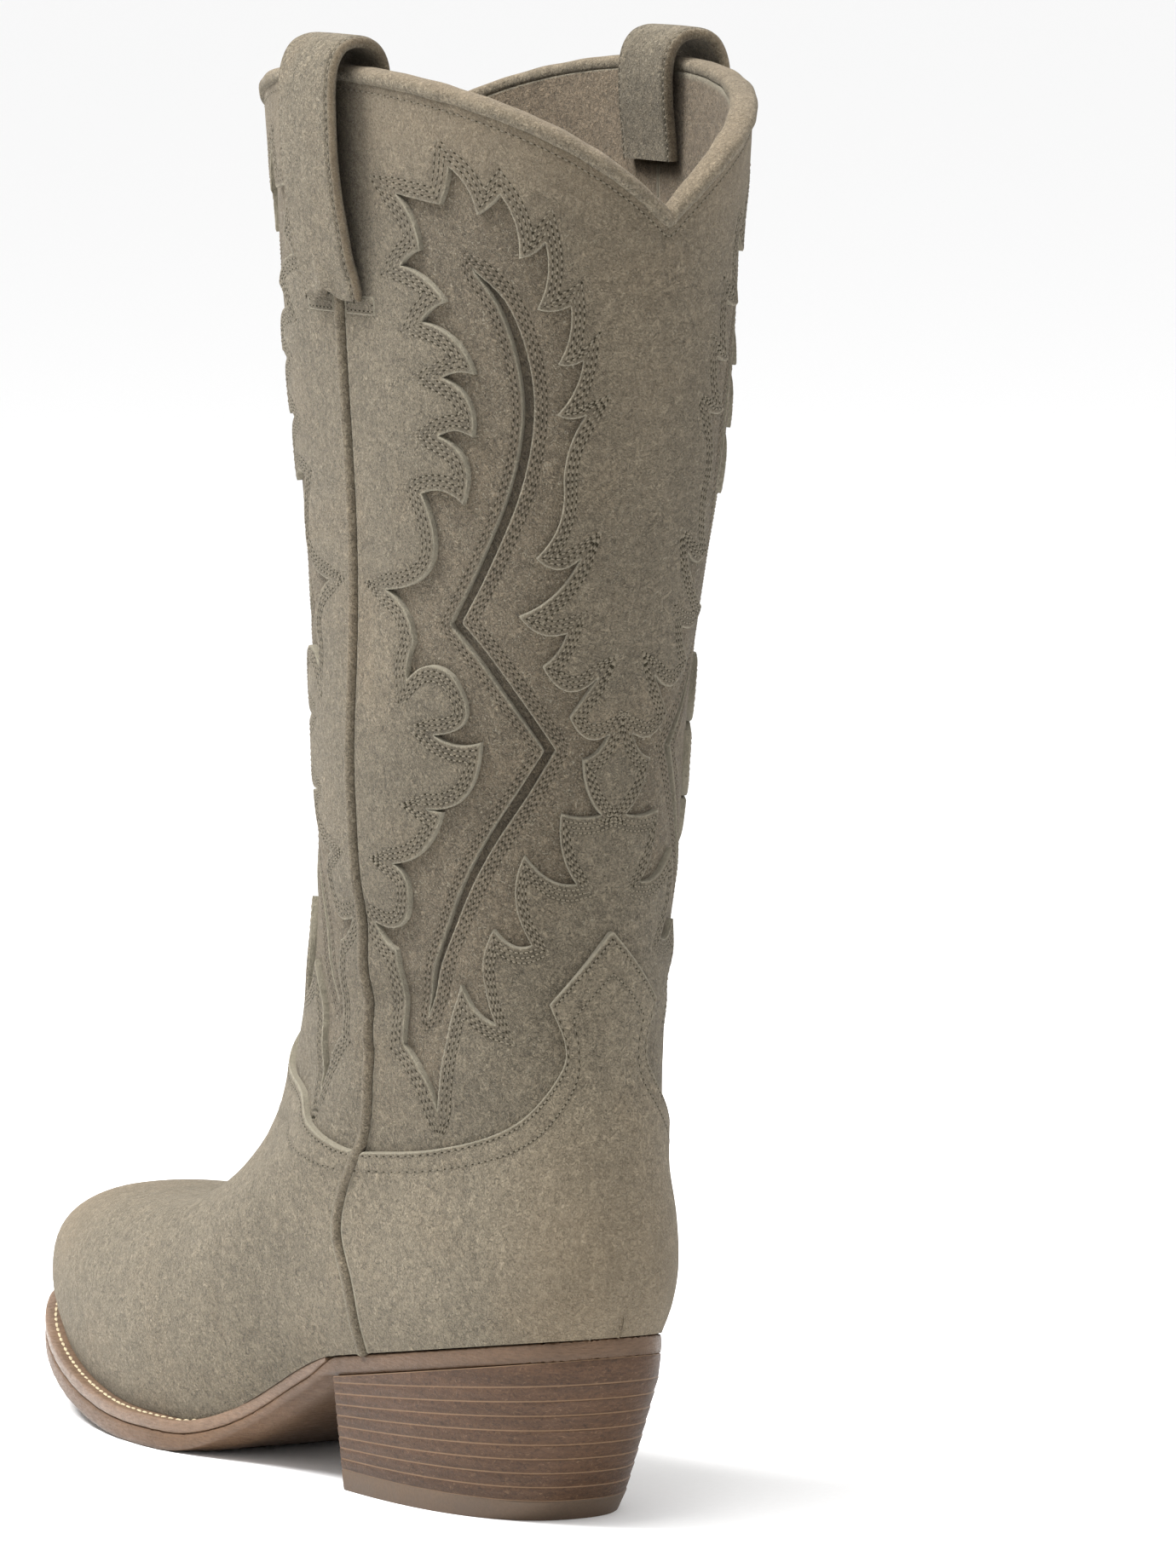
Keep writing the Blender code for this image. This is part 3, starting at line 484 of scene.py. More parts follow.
def leather(name, place, loops, layer, look, replaces, rows=(), dips=(), fine=1.0, coarse=3.0,
            steps=(0.16, 0.42, 0.9, 1.3, 1.9, 2.5, 3.1, 3.7, 4.5, 6.0), wear_and_painted_light=None):
    """A cut piece of leather on the skin, with a rounded edge and pressed-in rows of stitching."""
    edge = distances([closed(loop) for loop in loops])
    seam = distances(list(rows))
    inner, outer = layer

    def top(flat):
        near = clamp(edge(flat), 0, EDGE_ROUND)
        drop = EDGE_ROUND - np.sqrt(EDGE_ROUND**2 - (EDGE_ROUND - near) ** 2)
        pressed = GROOVE * np.exp(-((seam(flat) / GROOVE_WIDTH) ** 2))
        for dip in dips:
            pressed = pressed + dip(flat)
        return lifted(*place(flat), outer - drop - pressed)

    def bottom(flat):
        return lifted(*place(flat), inner)

    inner_top = mesh_points(loops, steps, fine, coarse)
    inner_bottom = mesh_points(loops, (), 3.0, 6.0)
    points, faces, flat, top_count = solid(loops, top, bottom, inner_top, inner_bottom)
    attributes = painted(len(points), 0.0 if wear_and_painted_light is None else wear_and_painted_light(points))
    attributes["edge"] = np.minimum(edge(flat), FAR)
    attributes["seam"][:top_count] = np.minimum(seam(flat[:top_count]), FAR)
    piece(name, points, outward_faces(points, faces), look, replaces, attributes)


def swept(centres, across, upwards, section, ring):
    """A tube: at each centre a section of (across, up) points. Gives points and faces."""
    count, around = len(centres), len(section)
    points = (centres[:, None] + across[:, None] * section[None, :, :1]
              + upwards[:, None] * section[None, :, 1:])
    points = points.reshape(-1, 3)
    faces = []
    for i in range(count if ring else count - 1):
        a, b = i * around, (i + 1) % count * around
        faces += [(a + j, a + (j + 1) % around, b + (j + 1) % around, b + j) for j in range(around)]
    if not ring:
        faces += [tuple(range(around))[::-1], tuple(range((count - 1) * around, count * around))]
    return points, outward_faces(points, faces)


# ---------------------------------------------------------------- stitching

# One stitch, along x and raised along z, as a share of its length and thickness
THREAD_RINGS = [(-0.20, 0.75, 0.0), (0.0, 1.0, 0.25), (0.20, 0.75, 0.0)]
THREAD_ENDS = [(-0.34, -0.7), (0.34, -0.7)]
THREAD_HALF = 0.22
# The dark marks at the needle holes are painted shade, standing for the shade inside each hole.
HOLE_HALF = (0.54, 0.27, 0.16)  # half length, half width and height of a needle hole, in mm
STITCH_RISE = 0.07


def thread_template():
    points = [(x, half * math.cos(a), height + half * math.sin(a) * 0.8)
              for x, half, height in THREAD_RINGS for a in np.arange(5) * TAU / 5]
    faces = [(5 * k + j, 5 * k + (j + 1) % 5, 5 * k + 5 + (j + 1) % 5, 5 * k + 5 + j)
             for k in range(2) for j in range(5)]
    points += [(x, 0, z) for x, z in THREAD_ENDS]
    faces += [(15, (j + 1) % 5, j) for j in range(5)] + [(16, 10 + j, 10 + (j + 1) % 5) for j in range(5)]
    return np.array(points), faces


# A small near-black mark at a needle hole: painted shade in the hole.
def hole_shade_template():
    rim = [(math.cos(a), math.sin(a), -0.3) for a in np.arange(6) * TAU / 6]
    faces = [(6, j, (j + 1) % 6) for j in range(6)] + [(7, (j + 1) % 6, j) for j in range(6)]
    return np.array([*rim, (0, 0, 0.5), (0, 0, -1.5)]), faces


def copies(template, centres, along, normal, size):
    """One mesh of a template at many places. size is its length, width and height in metres."""
    shape, faces = template
    side = unit(np.cross(normal, along))
    normal = np.cross(unit(along), side)
    points = (centres[:, None] + unit(along)[:, None] * (shape[:, 0, None] * size[0])
              + side[:, None] * (shape[:, 1, None] * size[1])
               + normal[:, None] * (shape[:, 2, None] * size[2]))
    every = [tuple(k * len(shape) + i for i in face) for k in range(len(centres)) for face in faces]
    return points.reshape(-1, 3), every


def stitching(name, place, runs, offset, looks, pitch=PITCH, keep=None):
    """Threads between needle holes along flat lines. Each run starts and ends at a hole."""
    starts, ends, holes = [], [], []
    for run in runs:
        if np.sum(np.linalg.norm(np.diff(run, axis=0), axis=1)) < 0.6 * pitch:
            continue
        dots = spaced(run, pitch)
        starts.append(dots[:-1])
        ends.append(dots[1:])
        holes.append(dots)
    starts, ends, holes = (np.concatenate(x) for x in (starts, ends, holes))
    turned = np.concatenate([ends[:1] - starts[:1], np.diff(holes, axis=0)])
    if keep is not None:
        good = keep(starts) & keep(ends)
        starts, ends = starts[good], ends[good]
        good = keep(holes)
        holes, turned = holes[good], turned[good]
    level = offset + STITCH_RISE
    from_, to = lifted(*place(starts), level), lifted(*place(ends), level)
    normal = outward(*place((starts + ends) / 2))
    points, faces = copies(thread_template(), (from_ + to) / 2, to - from_, normal,
                           (pitch * MM, THREAD_HALF * MM, THREAD_HALF * MM))
    centres = lifted(*place(holes), level)
    ahead = lifted(*place(holes + 0.2 * unit(turned)), level) - lifted(*place(holes), level)
    # A dark mark at each hole: painted shade.
    dark, dark_faces = copies(hole_shade_template(), centres, ahead, outward(*place(holes)),
                              [size * MM for size in HOLE_HALF])
    every = faces + [tuple(i + len(points) for i in face) for face in dark_faces]
    which = [0] * len(faces) + [1] * len(dark_faces)
    piece(name, np.concatenate([points, dark]), every, looks, material_of=which)


# ---------------------------------------------------------------- pattern pieces


def arcs_of(corners):
    """For the arc to each corner: where it starts, the straight way to the corner, and its bulge."""
    for i, (x1, y1, rise) in enumerate(corners):
        x0, y0, _ = corners[i - 1]
        step = np.array(((x1 - x0) * PANEL_ARC, y1 - y0))
        yield np.array((x0 * PANEL_ARC, y0)), step, step[::-1] * (1, -1) * 4 * rise


def arcs(corners, spacing):
    """A closed outline with an arc to each corner from the one before it, in flat mm."""
    points = []
    for start, step, bulge in arcs_of(corners):
        count = max(2, math.ceil(np.linalg.norm(step) / spacing))
        t = (np.arange(count) / count)[:, None]
        points.append(start + step * t + bulge * t * (1 - t))
    return np.concatenate(points)


def window_rows(distance, limit=9.0):
    """The lines of one row of stitches along a window's edge, one for each arc, meeting in points."""
    ends, lines = [], []
    t = np.linspace(0, 1, 25)[:, None]
    for start, step, bulge in arcs_of(WINDOW):
        base = start + step * t + bulge * t * (1 - t)
        tangent = unit(step + bulge * (1 - 2 * t))
        normal = tangent[:, ::-1] * (-1, 1)
        lines.append(base + normal * distance)
        ends.append((normal[0], normal[-1], base[-1]))
    edge = distances([closed(arcs(WINDOW, 0.8))])
    rows = []
    for i, line in enumerate(lines):
        before, after = ends[i - 1], ends[(i + 1) % len(lines)]
        corners = []
        for n0, n1, corner in ((before[1], ends[i][0], before[2]), (ends[i][1], after[0], ends[i][2])):
            middle = unit(n0 + n1)
            corners.append(corner + middle * min(limit, distance / max(0.15, float(middle @ n0))))
        kept = line[edge(line) > 0.95 * distance]
        rows.append(np.concatenate([corners[:1], kept, corners[1:]]))
    return rows


def mirrored(line):
    return line[::-1] * (-1, 1)


def smooth(points, breaks):
    """A line through points, smooth between those whose numbers are given."""
    parts = [through(points[a:b + 1], 8)[:-1] for a, b in zip(breaks, breaks[1:])]
    return np.concatenate([*parts, points[-1:]])


def slit_middle():
    """The middle line of a slit in flat mm with its half width, smooth between its corners."""
    return smooth(np.array(SLIT) * (PANEL_ARC, 1, 1), SLIT_CORNERS)


def slit_side(side, distance, tip=1.5):
    """A line beside a slit at a distance from its edge, from beyond its top to beyond its foot."""
    middle = slit_middle()
    line = middle[:, :2]
    moved = np.stack([moved_left(line, side * (half + distance))[k] for k, half in enumerate(middle[:, 2])])
    if distance:
        edge = distances([line])
        clear = edge(moved) > 0.93 * (middle[:, 2] + distance)
        moved = moved[clear]
        ends = [line[0] + unit(line[0] - line[1]) * distance * tip,
                line[-1] + unit(line[-1] - line[-2]) * distance * tip]
        moved = np.concatenate([ends[:1], moved, ends[1:]])
    return moved


def slit_loop():
    """The slit's outline, with the leather on its left."""
    left, right = slit_side(1, 0.0), slit_side(-1, 0.0)
    loop = spaced(np.concatenate([left[:-1], right[:0:-1]]), 1.1, closed=True)
    x, y = loop[:, 0], loop[:, 1]
    area = np.sum(x * np.roll(y, -1) - y * np.roll(x, -1))
    return loop[::-1] if area > 0 else loop


def side_limit(front, side, height, margin):
    """The flat x at which a piece stops short of a side seam, at a height in mm."""
    around = (0.5 if front else 0.0) + 0.25 * side
    return side * PANEL_ARC * (1 - around_step(around, up_at(around, height), margin) / 0.25)


def edge_line(front, shares, below=1.3):
    """Height under the binding at which the leather ends, in mm."""
    around = (0.5 if front else 0.0) + 0.25 * shares
    share = 1 - np.abs(shares)
    slope = NOTCH_DEPTH * NOTCH_POWER * share ** (NOTCH_POWER - 1) / PANEL_ARC
    return top_height(around) - below * np.sqrt(1 + slope * slope)


def foot_top(front):
    """Half of the top line of the vamp or the counter, as flat mm points."""
    if front:
        return smooth(np.array(VAMP_TOP) * (PANEL_ARC, 1), VAMP_CORNERS)
    return smooth(np.array(COUNTER_TOP) * (PANEL_ARC, 1), COUNTER_CORNERS)


def whole(half):
    """Both halves of a line that starts in the middle, from the left end to the right end."""
    return np.concatenate([half[:0:-1] * (-1, 1), half])


def shaft_outline(front, low_line, margin, below=1.3, tuck=8.0):
    """The outline of a shaft piece, from under the foot's leather to under the binding."""
    low = whole(low_line)
    low = np.stack([low[:, 0], np.minimum(low[:, 1], PEAK_FOOT) - tuck], axis=1)
    low = low[np.concatenate([[True], np.diff(np.maximum.accumulate(low[:, 0])) > 0])]
    heights = np.linspace(low[-1, 1], edge_line(front, np.array(1.0), below), 40)
    right = np.stack([side_limit(front, 1, heights, margin), heights], axis=1)
    left = np.stack([side_limit(front, -1, heights, margin), heights], axis=1)
    low = low[(low[:, 0] < right[0, 0] - 0.5) & (low[:, 0] > left[0, 0] + 0.5)]
    shares = np.linspace(1, -1, 81)
    top = np.stack([shares * PANEL_ARC, edge_line(front, shares, below)], axis=1)
    top = top[(top[:, 0] < right[-1, 0] - 0.5) & (top[:, 0] > left[-1, 0] + 0.5)]
    return spaced(np.concatenate([low, right, top, left[::-1]]), 1.6, closed=True)


def foot_outline(front, high_line, margin, start=COVER_START):
    """The outline of a foot piece, from the sole to a line of flat shaft points, in foot coordinates."""
    middle = 0.5 if front else 0.0
    high = whole(high_line)
    ups = up_at(middle + 0.25 * high[:, 0] / PANEL_ARC, high[:, 1])
    high = np.stack([high[:, 0], ups * UP_MM], axis=1)
    sides = []
    for side in (1, -1):
        around = middle + 0.25 * side
        levels = np.linspace(start, high[-1, 1] / UP_MM, 40)
        x = side * PANEL_ARC * (1 - around_step(around, levels, margin) / 0.25)
        sides.append(np.stack([x, levels * UP_MM], axis=1))
    right, left = sides
    high = high[(high[:, 0] < right[-1, 0] - 0.5) & (high[:, 0] > left[-1, 0] + 0.5)]
    low = np.stack([np.linspace(left[0, 0], right[0, 0], 60)[1:-1], np.full(58, start * UP_MM)], axis=1)
    return spaced(np.concatenate([low, right, high[::-1], left[::-1]]), 1.5, closed=True), high


# ---------------------------------------------------------------- materials


class Look:
    """A material, with short ways to add its nodes."""

    def __init__(self, name, **values):
        self.material = bpy.data.materials.new(name)
        self.material.use_nodes = True
        self.tree = self.material.node_tree
        self.shader = self.tree.nodes["Principled BSDF"]
        for socket, value in values.items():
            self.shader.inputs[socket.replace("_", " ")].default_value = value
        self.place = self.add("ShaderNodeTexCoord").outputs["Object"]

    def add(self, kind, inputs=None, **settings):
        node = self.tree.nodes.new(kind)
        for key, value in settings.items():
            setattr(node, key, value)
        for socket, value in (inputs or {}).items():
            if isinstance(value, bpy.types.NodeSocket):
                self.tree.links.new(value, node.inputs[socket])
            else:
                node.inputs[socket].default_value = value
        return node

    def noise(self, scale, detail=3.0, roughness=0.5, distortion=0.0, stretch=None):
        place = self.place
        if stretch:
            place = self.add("ShaderNodeMapping", {"Vector": place, "Scale": stretch}).outputs[0]
        return self.add("ShaderNodeTexNoise", {"Vector": place, "Scale": scale, "Detail": detail,
                                               "Roughness": roughness, "Distortion": distortion}).outputs[0]

    def value(self, name, low, high, start=0.0, end=1.0):
        """A mesh attribute, or a socket, turned from one range into another."""
        source = name
        if isinstance(name, str):
            source = self.add("ShaderNodeAttribute", attribute_name=name).outputs["Fac"]
        return self.add("ShaderNodeMapRange", {"Value": source, "From Min": low, "From Max": high,
                                               "To Min": start, "To Max": end}).outputs[0]

    def colours(self, source, stops):
        ramp = self.add("ShaderNodeValToRGB", {"Fac": source})
        elements = ramp.color_ramp.elements
        for place, colour in stops[1:-1]:
            elements.new(place).color = (*colour, 1)
        elements[0].position, elements[0].color = stops[0][0], (*stops[0][1], 1)
        elements[-1].position, elements[-1].color = stops[-1][0], (*stops[-1][1], 1)
        return ramp.outputs[0]

    def mix(self, amount, a, b, blend_type="MIX"):
        node = self.add("ShaderNodeMix", data_type="RGBA", blend_type=blend_type)
        for socket, value in ((node.inputs[0], amount), (node.inputs[6], a), (node.inputs[7], b)):
            if isinstance(value, bpy.types.NodeSocket):
                self.tree.links.new(value, socket)
            else:
                socket.default_value = (*value, 1) if isinstance(value, tuple) else value
        return node.outputs[2]

    def shaded(self, tone, source, *stops):
        """A colour made darker or lighter by a pattern; each stop is a place and a factor."""
        return self.mix(1.0, tone, self.colours(source, [(at, (by,) * 3) for at, by in stops]), "MULTIPLY")

    def math(self, operation, a, b):
        return self.add("ShaderNodeMath", {0: a, 1: b}, operation=operation).outputs[0]

    def bumps(self, *layers):
        """Bump layers, each a height and the distance it stands out in metres."""
        normal = None
        for height, distance in layers:
            inputs = {"Height": height, "Distance": distance, "Strength": 1.0}
            if normal is not None:
                inputs["Normal"] = normal
            normal = self.add("ShaderNodeBump", inputs).outputs[0]
        self.tree.links.new(normal, self.shader.inputs["Normal"])

    def finish(self, colour, roughness):
        self.tree.links.new(colour, self.shader.inputs["Base Color"])
        self.tree.links.new(roughness, self.shader.inputs["Roughness"])
        return self.material


PALE_EDGE = (0.255, 0.232, 0.175)
SANDY = (0.205, 0.155, 0.100)


def scaled(colour, factor):
    return tuple(c * factor for c in colour)


def suede(name, colour, fleck=0.35, nap=1.0, contrast=1.0, warm=(0.165, 0.125, 0.080)):
    """Brushed suede: matted fibres, pale flecks, brush marks, a pale cut edge, painted shade along the stitch
    rows, and sandy rubbed places, which on the top of the binding are a painted highlight.
    """
    look = Look(name, Specular_IOR_Level=0.12, Sheen_Weight=0.16, Sheen_Roughness=0.45,
                Sheen_Tint=(0.93, 0.88, 0.78, 1))
    clouds = look.noise(18, 2, 0.5, 0.6)
    tone = look.colours(clouds, [(0.30, scaled(colour, 1 - 0.13 * contrast)), (0.5, colour),
                                 (0.72, scaled(colour, 1 + 0.10 * contrast))])
    hue = look.value(look.noise(30, 2, 0.5, 1.0), 0.50, 0.85, 0.0, 0.35)
    tone = look.mix(hue, tone, warm)
    brush = look.noise(330, 3, 0.6, 1.4)
    tone = look.shaded(tone, brush, (0.34, 0.80), (0.5, 1.0), (0.66, 1.20))
    fibre = look.noise(900, 3, 0.7, 2.2)
    tone = look.shaded(tone, fibre, (0.34, 0.42), (0.50, 1.0), (0.66, 1.60))
    pale = look.value(look.noise(640, 2, 0.5, 4.0), 0.59, 0.65, 0.0, fleck)
    tone = look.mix(pale, tone, scaled(PALE_EDGE, 1.25))
    # Painted shade along the pressed stitch rows: the suede is darker near each seam, as if in the shade of
    # its groove.
    tone = look.mix(look.value("seam", 0.85, 0.15, 0.0, 0.42), tone, scaled(colour, 0.45))
    tone = look.mix(look.value("edge", 0.55, 0.15, 0.0, 0.75), tone, PALE_EDGE)
    # Sandy places: rubbed suede, and on the top of the binding a painted highlight.
    sandy_amount = look.math("MULTIPLY", look.value("wear_and_painted_light", 0.0, 1.0), look.value(clouds, 0.25, 0.6, 0.55, 1.0))
    tone = look.mix(sandy_amount, tone, SANDY)
    look.bumps((brush, 0.00045 * nap), (fibre, 0.00070 * nap), (look.noise(3200, 2, 0.6, 1.0), 0.00016 * nap))
    rough = look.value(fibre, 0.3, 0.7, 0.98, 0.84)
    return look.finish(tone, rough)


def thread(name, colour):
    look = Look(name, Specular_IOR_Level=0.3, Sheen_Weight=0.1)
    twist = look.noise(2400, 2, 0.5, 1.0)
    tone = look.colours(twist, [(0.3, scaled(colour, 0.72)), (0.7, scaled(colour, 1.15))])
    look.bumps((twist, 0.00008))
    return look.finish(tone, look.value(twist, 0.2, 0.8, 0.65, 0.85))


# Near-black colour for the marks at the needle holes: painted shade.
def painted_hole_shade():
    look = Look("needle_hole_shade", Specular_IOR_Level=0.1)
    shade = look.noise(1800, 2)
    return look.finish(look.colours(shade, [(0.3, (0.014, 0.012, 0.007)), (0.7, (0.032, 0.027, 0.017))]),
                       look.value(shade, 0, 1, 0.9, 1.0))


def sole_leather(name, colour, dark, gloss=0.45):
    """Waxed vegetable-tanned leather: fine grain, fibres along its edge, darker wax in the pores, and darker
    places of painted shade given by the mesh.
    """
    look = Look(name, Coat_Weight=0.06, Coat_Roughness=0.35, Specular_IOR_Level=0.3)
    clouds = look.noise(45, 4, 0.6, 0.6)
    fibres = look.noise(420, 4, 0.65, 0.4, (1, 1, 5))
    grain = look.noise(1500, 3, 0.6, 0.5)
    tone = look.colours(clouds, [(0.3, scaled(colour, 0.78)), (0.55, colour), (0.8, scaled(colour, 1.18))])
    tone = look.shaded(tone, fibres, (0.3, 0.72), (0.6, 1.08))
    tone = look.mix(look.value(grain, 0.62, 0.72, 0.0, 0.45), tone, dark)
    # Painted shade: darker where the mesh's value is high, which on the outsole is its lower edge and the
    # waist.
    tone = look.mix(look.value("wear_and_painted_light", 0.0, 1.0, 0.0, 0.85), tone, dark)
    look.bumps((fibres, 0.00022), (grain, 0.00010))
    return look.finish(tone, look.value(fibres, 0.3, 0.7, gloss + 0.15, gloss - 0.08))


def stacked_leather(name, colour, dark, light):
    """The sanded side of the heel's lifts: level fibres in thin streaks, each lift in its own tone."""
    look = Look(name, Specular_IOR_Level=0.25)
    bands = look.noise(1.0, 3, 0.5, 0.0, (9, 9, 240))
    streaks = look.noise(1.0, 5, 0.7, 0.3, (150, 150, 1300))
    grain = look.noise(800, 4, 0.65, 1.2, (1, 1, 1.7))
    tone = look.colours(bands, [(0.3, scaled(colour, 0.80)), (0.5, colour), (0.7, scaled(colour, 1.18))])
    tone = look.mix(look.value(grain, 0.50, 0.66, 0.0, 0.75), tone, dark)
    tone = look.mix(look.value(grain, 0.42, 0.30, 0.0, 0.40), tone, light)
    tone = look.shaded(tone, streaks, (0.3, 0.78), (0.7, 1.14))
    tone = look.mix(look.value("edge", 0.75, 0.1, 0.0, 0.80), tone, light)
    look.bumps((streaks, 0.00016), (grain, 0.00014))
    return look.finish(tone, look.value(streaks, 0.3, 0.7, 0.62, 0.45))


def rubber(name, colour):
    look = Look(name, Specular_IOR_Level=0.35)
    specks = look.noise(1600, 3, 0.6)
    scuffs = look.noise(90, 4, 0.7, 1.0)
    tone = look.colours(scuffs, [(0.35, scaled(colour, 0.88)), (0.7, scaled(colour, 1.1))])
    tone = look.shaded(tone, specks, (0.3, 0.88), (0.7, 1.06))
    look.bumps((specks, 0.00006), (scuffs, 0.0001))
    return look.finish(tone, look.value(scuffs, 0.3, 0.7, 0.55, 0.75))


def board(name, colour):
    """Pressed fibre, or cork: a pale ground with darker specks."""
    look = Look(name, Specular_IOR_Level=0.2)
    specks = look.noise(650, 4, 0.7)
    tone = look.colours(specks, [(0.35, scaled(colour, 0.6)), (0.55, colour), (0.8, scaled(colour, 1.2))])
    look.bumps((specks, 0.0002))
    return look.finish(tone, look.value(specks, 0.3, 0.7, 0.95, 0.8))


def steel(name):
    look = Look(name, Metallic=1.0)
    brushed = look.noise(300, 3, 0.6, 0.0, (1, 12, 1))
    tone = look.colours(brushed, [(0.3, (0.42, 0.41, 0.40)), (0.7, (0.62, 0.61, 0.60))])
    look.bumps((brushed, 0.00003))
    return look.finish(tone, look.value(brushed, 0.3, 0.7, 0.32, 0.5))


# ---------------------------------------------------------------- the upper


def wear_of_foot(points):
    """Sandy rubbed places on the toe's top, round the heel and just over the sole."""
    _, y, z = points.T
    toe = blend(-y, 0.085, 0.140) * blend(z, 0.028, 0.052)
    heel = blend(y, 0.098, 0.128) * (1 - blend(z, 0.060, 0.120))
    return clamp(0.55 * toe + 0.38 * heel)


def wear_of_shaft(points):
    _, y, z = points.T
    edges = 0.30 * blend(z, 0.300, 0.345)
    back = 0.18 * blend(y, 0.118, 0.150)
    return clamp(edges + back)


def make_shaft(looks):
    windows = arcs(WINDOW, 1.1)
    slits = slit_loop()
    for front in (False, True):
        end = "front" if front else "back"
        place = shaft_place(front)
        outline = shaft_outline(front, foot_top(front), CUT)
        both = (lambda line: line), mirrored
        window_loops = [flip(windows) for flip in both]
        slit_loops = [flip(slits) for flip in both]
        rows = [flip(row) for distance in ROWS for row in window_rows(distance) for flip in both]
        beside = [(1, d) for d in ROWS[:2]] + [(-1, d) for d in ROWS]
        slit_rows = [flip(slit_side(side, d)) for side, d in beside for flip in both]
        top_shares = np.linspace(-0.975, 0.975, 90)
        top_row = np.stack([top_shares * PANEL_ARC, edge_line(front, top_shares, 3.5)], axis=1)
        halves = [top_row[:46], top_row[45:]]
        leather(f"{end}_flame_cut_panel", place, [outline, *window_loops], OVERLAY, looks["suede"],
                [f"{end}_flame_overlay"], rows + halves, wear_and_painted_light=wear_of_shaft)
        leather(f"{end}_shaft_panel", place, [outline, *slit_loops], PANEL, looks["inset"],
                [f"shaft_{end}_panel"], slit_rows, wear_and_painted_light=wear_of_shaft)
        on_overlay = clear_of([outline, *window_loops], 0.8)
        stitching(f"{end}_flame_stitching", place, rows, OVERLAY[1] - GROOVE, looks["thread"],
                  keep=on_overlay)
        stitching(f"{end}_slit_stitching", place, slit_rows, PANEL[1] - GROOVE, looks["inset_thread"],
                  keep=clear_of([outline, *slit_loops], 0.8))
        stitching(f"{end}_top_line_stitching", place, halves, OVERLAY[1] - GROOVE, looks["thread"])
        both_sides = np.concatenate([slit_side(1, 7.0)[1:-1], slit_side(-1, 7.0)[-2:0:-1]])
        backing = spaced(both_sides, 3.0, closed=True)
        for flip, side in zip(both, (1, -1)):
            word = "outer" if (side > 0) != front else "inner"
            patch = flip(backing)
            leather(f"{end}_slit_backing_{word}", place, [patch], INLAY, looks["backing"],
                    [f"{end}_inlay_{word}"], steps=(1.0,), fine=3.0, coarse=4.0)


def clear_of(loops, distance):
    edge = distances([closed(loop) for loop in loops])
    return lambda flat: inside(flat, loops) & (edge(flat) > distance)


def make_foot(looks):
    for front, name in ((True, "vamp"), (False, "heel_counter")):
        outline, high = foot_outline(front, foot_top(front), CUT)
        edge = distances([high])
        rows = [moved_left(spaced(high, 0.9), -distance, limit=1.6) for distance in FOOT_ROWS]
        rows = [row[edge(row) > 0.96 * distance] for row, distance in zip(rows, FOOT_ROWS)]
        if not front:
            rows = [half for row in rows for half in split_at_middle(row)]
        dart = () if front else (heel_dart,)
        leather(f"{name}_leather", foot_place(front), [outline], COVER, looks["foot"], [name], rows,
                dart, coarse=2.4, steps=(0.16, 0.42, 0.9, 1.2, 1.8, 3.0, 5.4, 6.2, 7.2), wear_and_painted_light=wear_of_foot)
        stitching(f"{name}_stitching", foot_place(front), rows, COVER[1] - GROOVE, looks["thread"])


def split_at_middle(row):
    return [part for part in (row[row[:, 0] <= 0.3], row[row[:, 0] >= -0.3]) if len(part) > 3]


def heel_dart(flat):
    """A short upright tuck at the bottom of the heel."""
    x, up = flat[:, 0], flat[:, 1] / UP_MM
    reach = 1 - blend(up, 0.7, 1.25)
    return reach * (1.1 * np.exp(-((x / 0.5) ** 2)) - 0.7 * np.exp(-(((x - 1.2) / 0.6) ** 2)))


def make_linings(looks):
    for front in (False, True):
        end = "front" if front else "back"
        low_line = foot_top(True)
        if front:
            outline = shaft_outline(True, low_line, 0.2, tuck=8.0)
            place = shaft_place(True)
            foot, _ = foot_outline(True, low_line - (0, 8.6), 0.2, 0.7)
            leather("vamp_lining_leather", foot_place(True), [foot], LINING, looks["lining"],
                    ["vamp_lining"], steps=(0.5,), fine=3.0, coarse=5.0)
        else:
            shares = np.linspace(0, 1, 30)
            high = np.stack([shares * PANEL_ARC, edge_line(False, shares)], axis=1)
            outline, _ = foot_outline(False, high, 0.2, 0.7)
            place = foot_place(False)
        leather(f"{end}_lining_leather", place, [outline], LINING, looks["lining"],
                [f"{end}_lining"], steps=(0.5,), fine=2.4, coarse=4.0)


def make_binding(looks):
    count = 720
    around = np.arange(count) / count
    up = up_at(around, top_height(around))
    centres = lifted(around, up, BINDING_OFFSET)
    out = outward(around, up)
    along = unit(np.roll(centres, -1, axis=0) - np.roll(centres, 1, axis=0))
    high = unit(np.cross(out, along))
    high *= np.sign(high[:, 2:3])
    angles = np.arange(28) * TAU / 28
    section = np.stack([np.sign(np.cos(angles)) * np.abs(np.cos(angles)) ** 0.85 * BINDING_HALF[0],
                        np.sign(np.sin(angles)) * np.abs(np.sin(angles)) ** 0.85 * BINDING_HALF[1]],
                       axis=1) * MM
    points, faces = swept(centres, out, high, section, True)
    swell = 0.12 * np.sin(around * 97) * np.sin(around * 61 + 1) + 0.08 * np.sin(around * 233)
    centre = np.repeat(centres, len(section), axis=0)
    points = centre + (points - centre) * (1 + 0.35 * np.repeat(swell, len(section)))[:, None]
    # The binding is sandier towards the top of its roll: a painted highlight on its upper side.
    piece("rolled_binding", points, faces, looks["binding"], ["top_binding"],
          painted(len(points), clamp(0.1 + 0.4 * np.tile(section[:, 1] / section[:, 1].max(), count))))


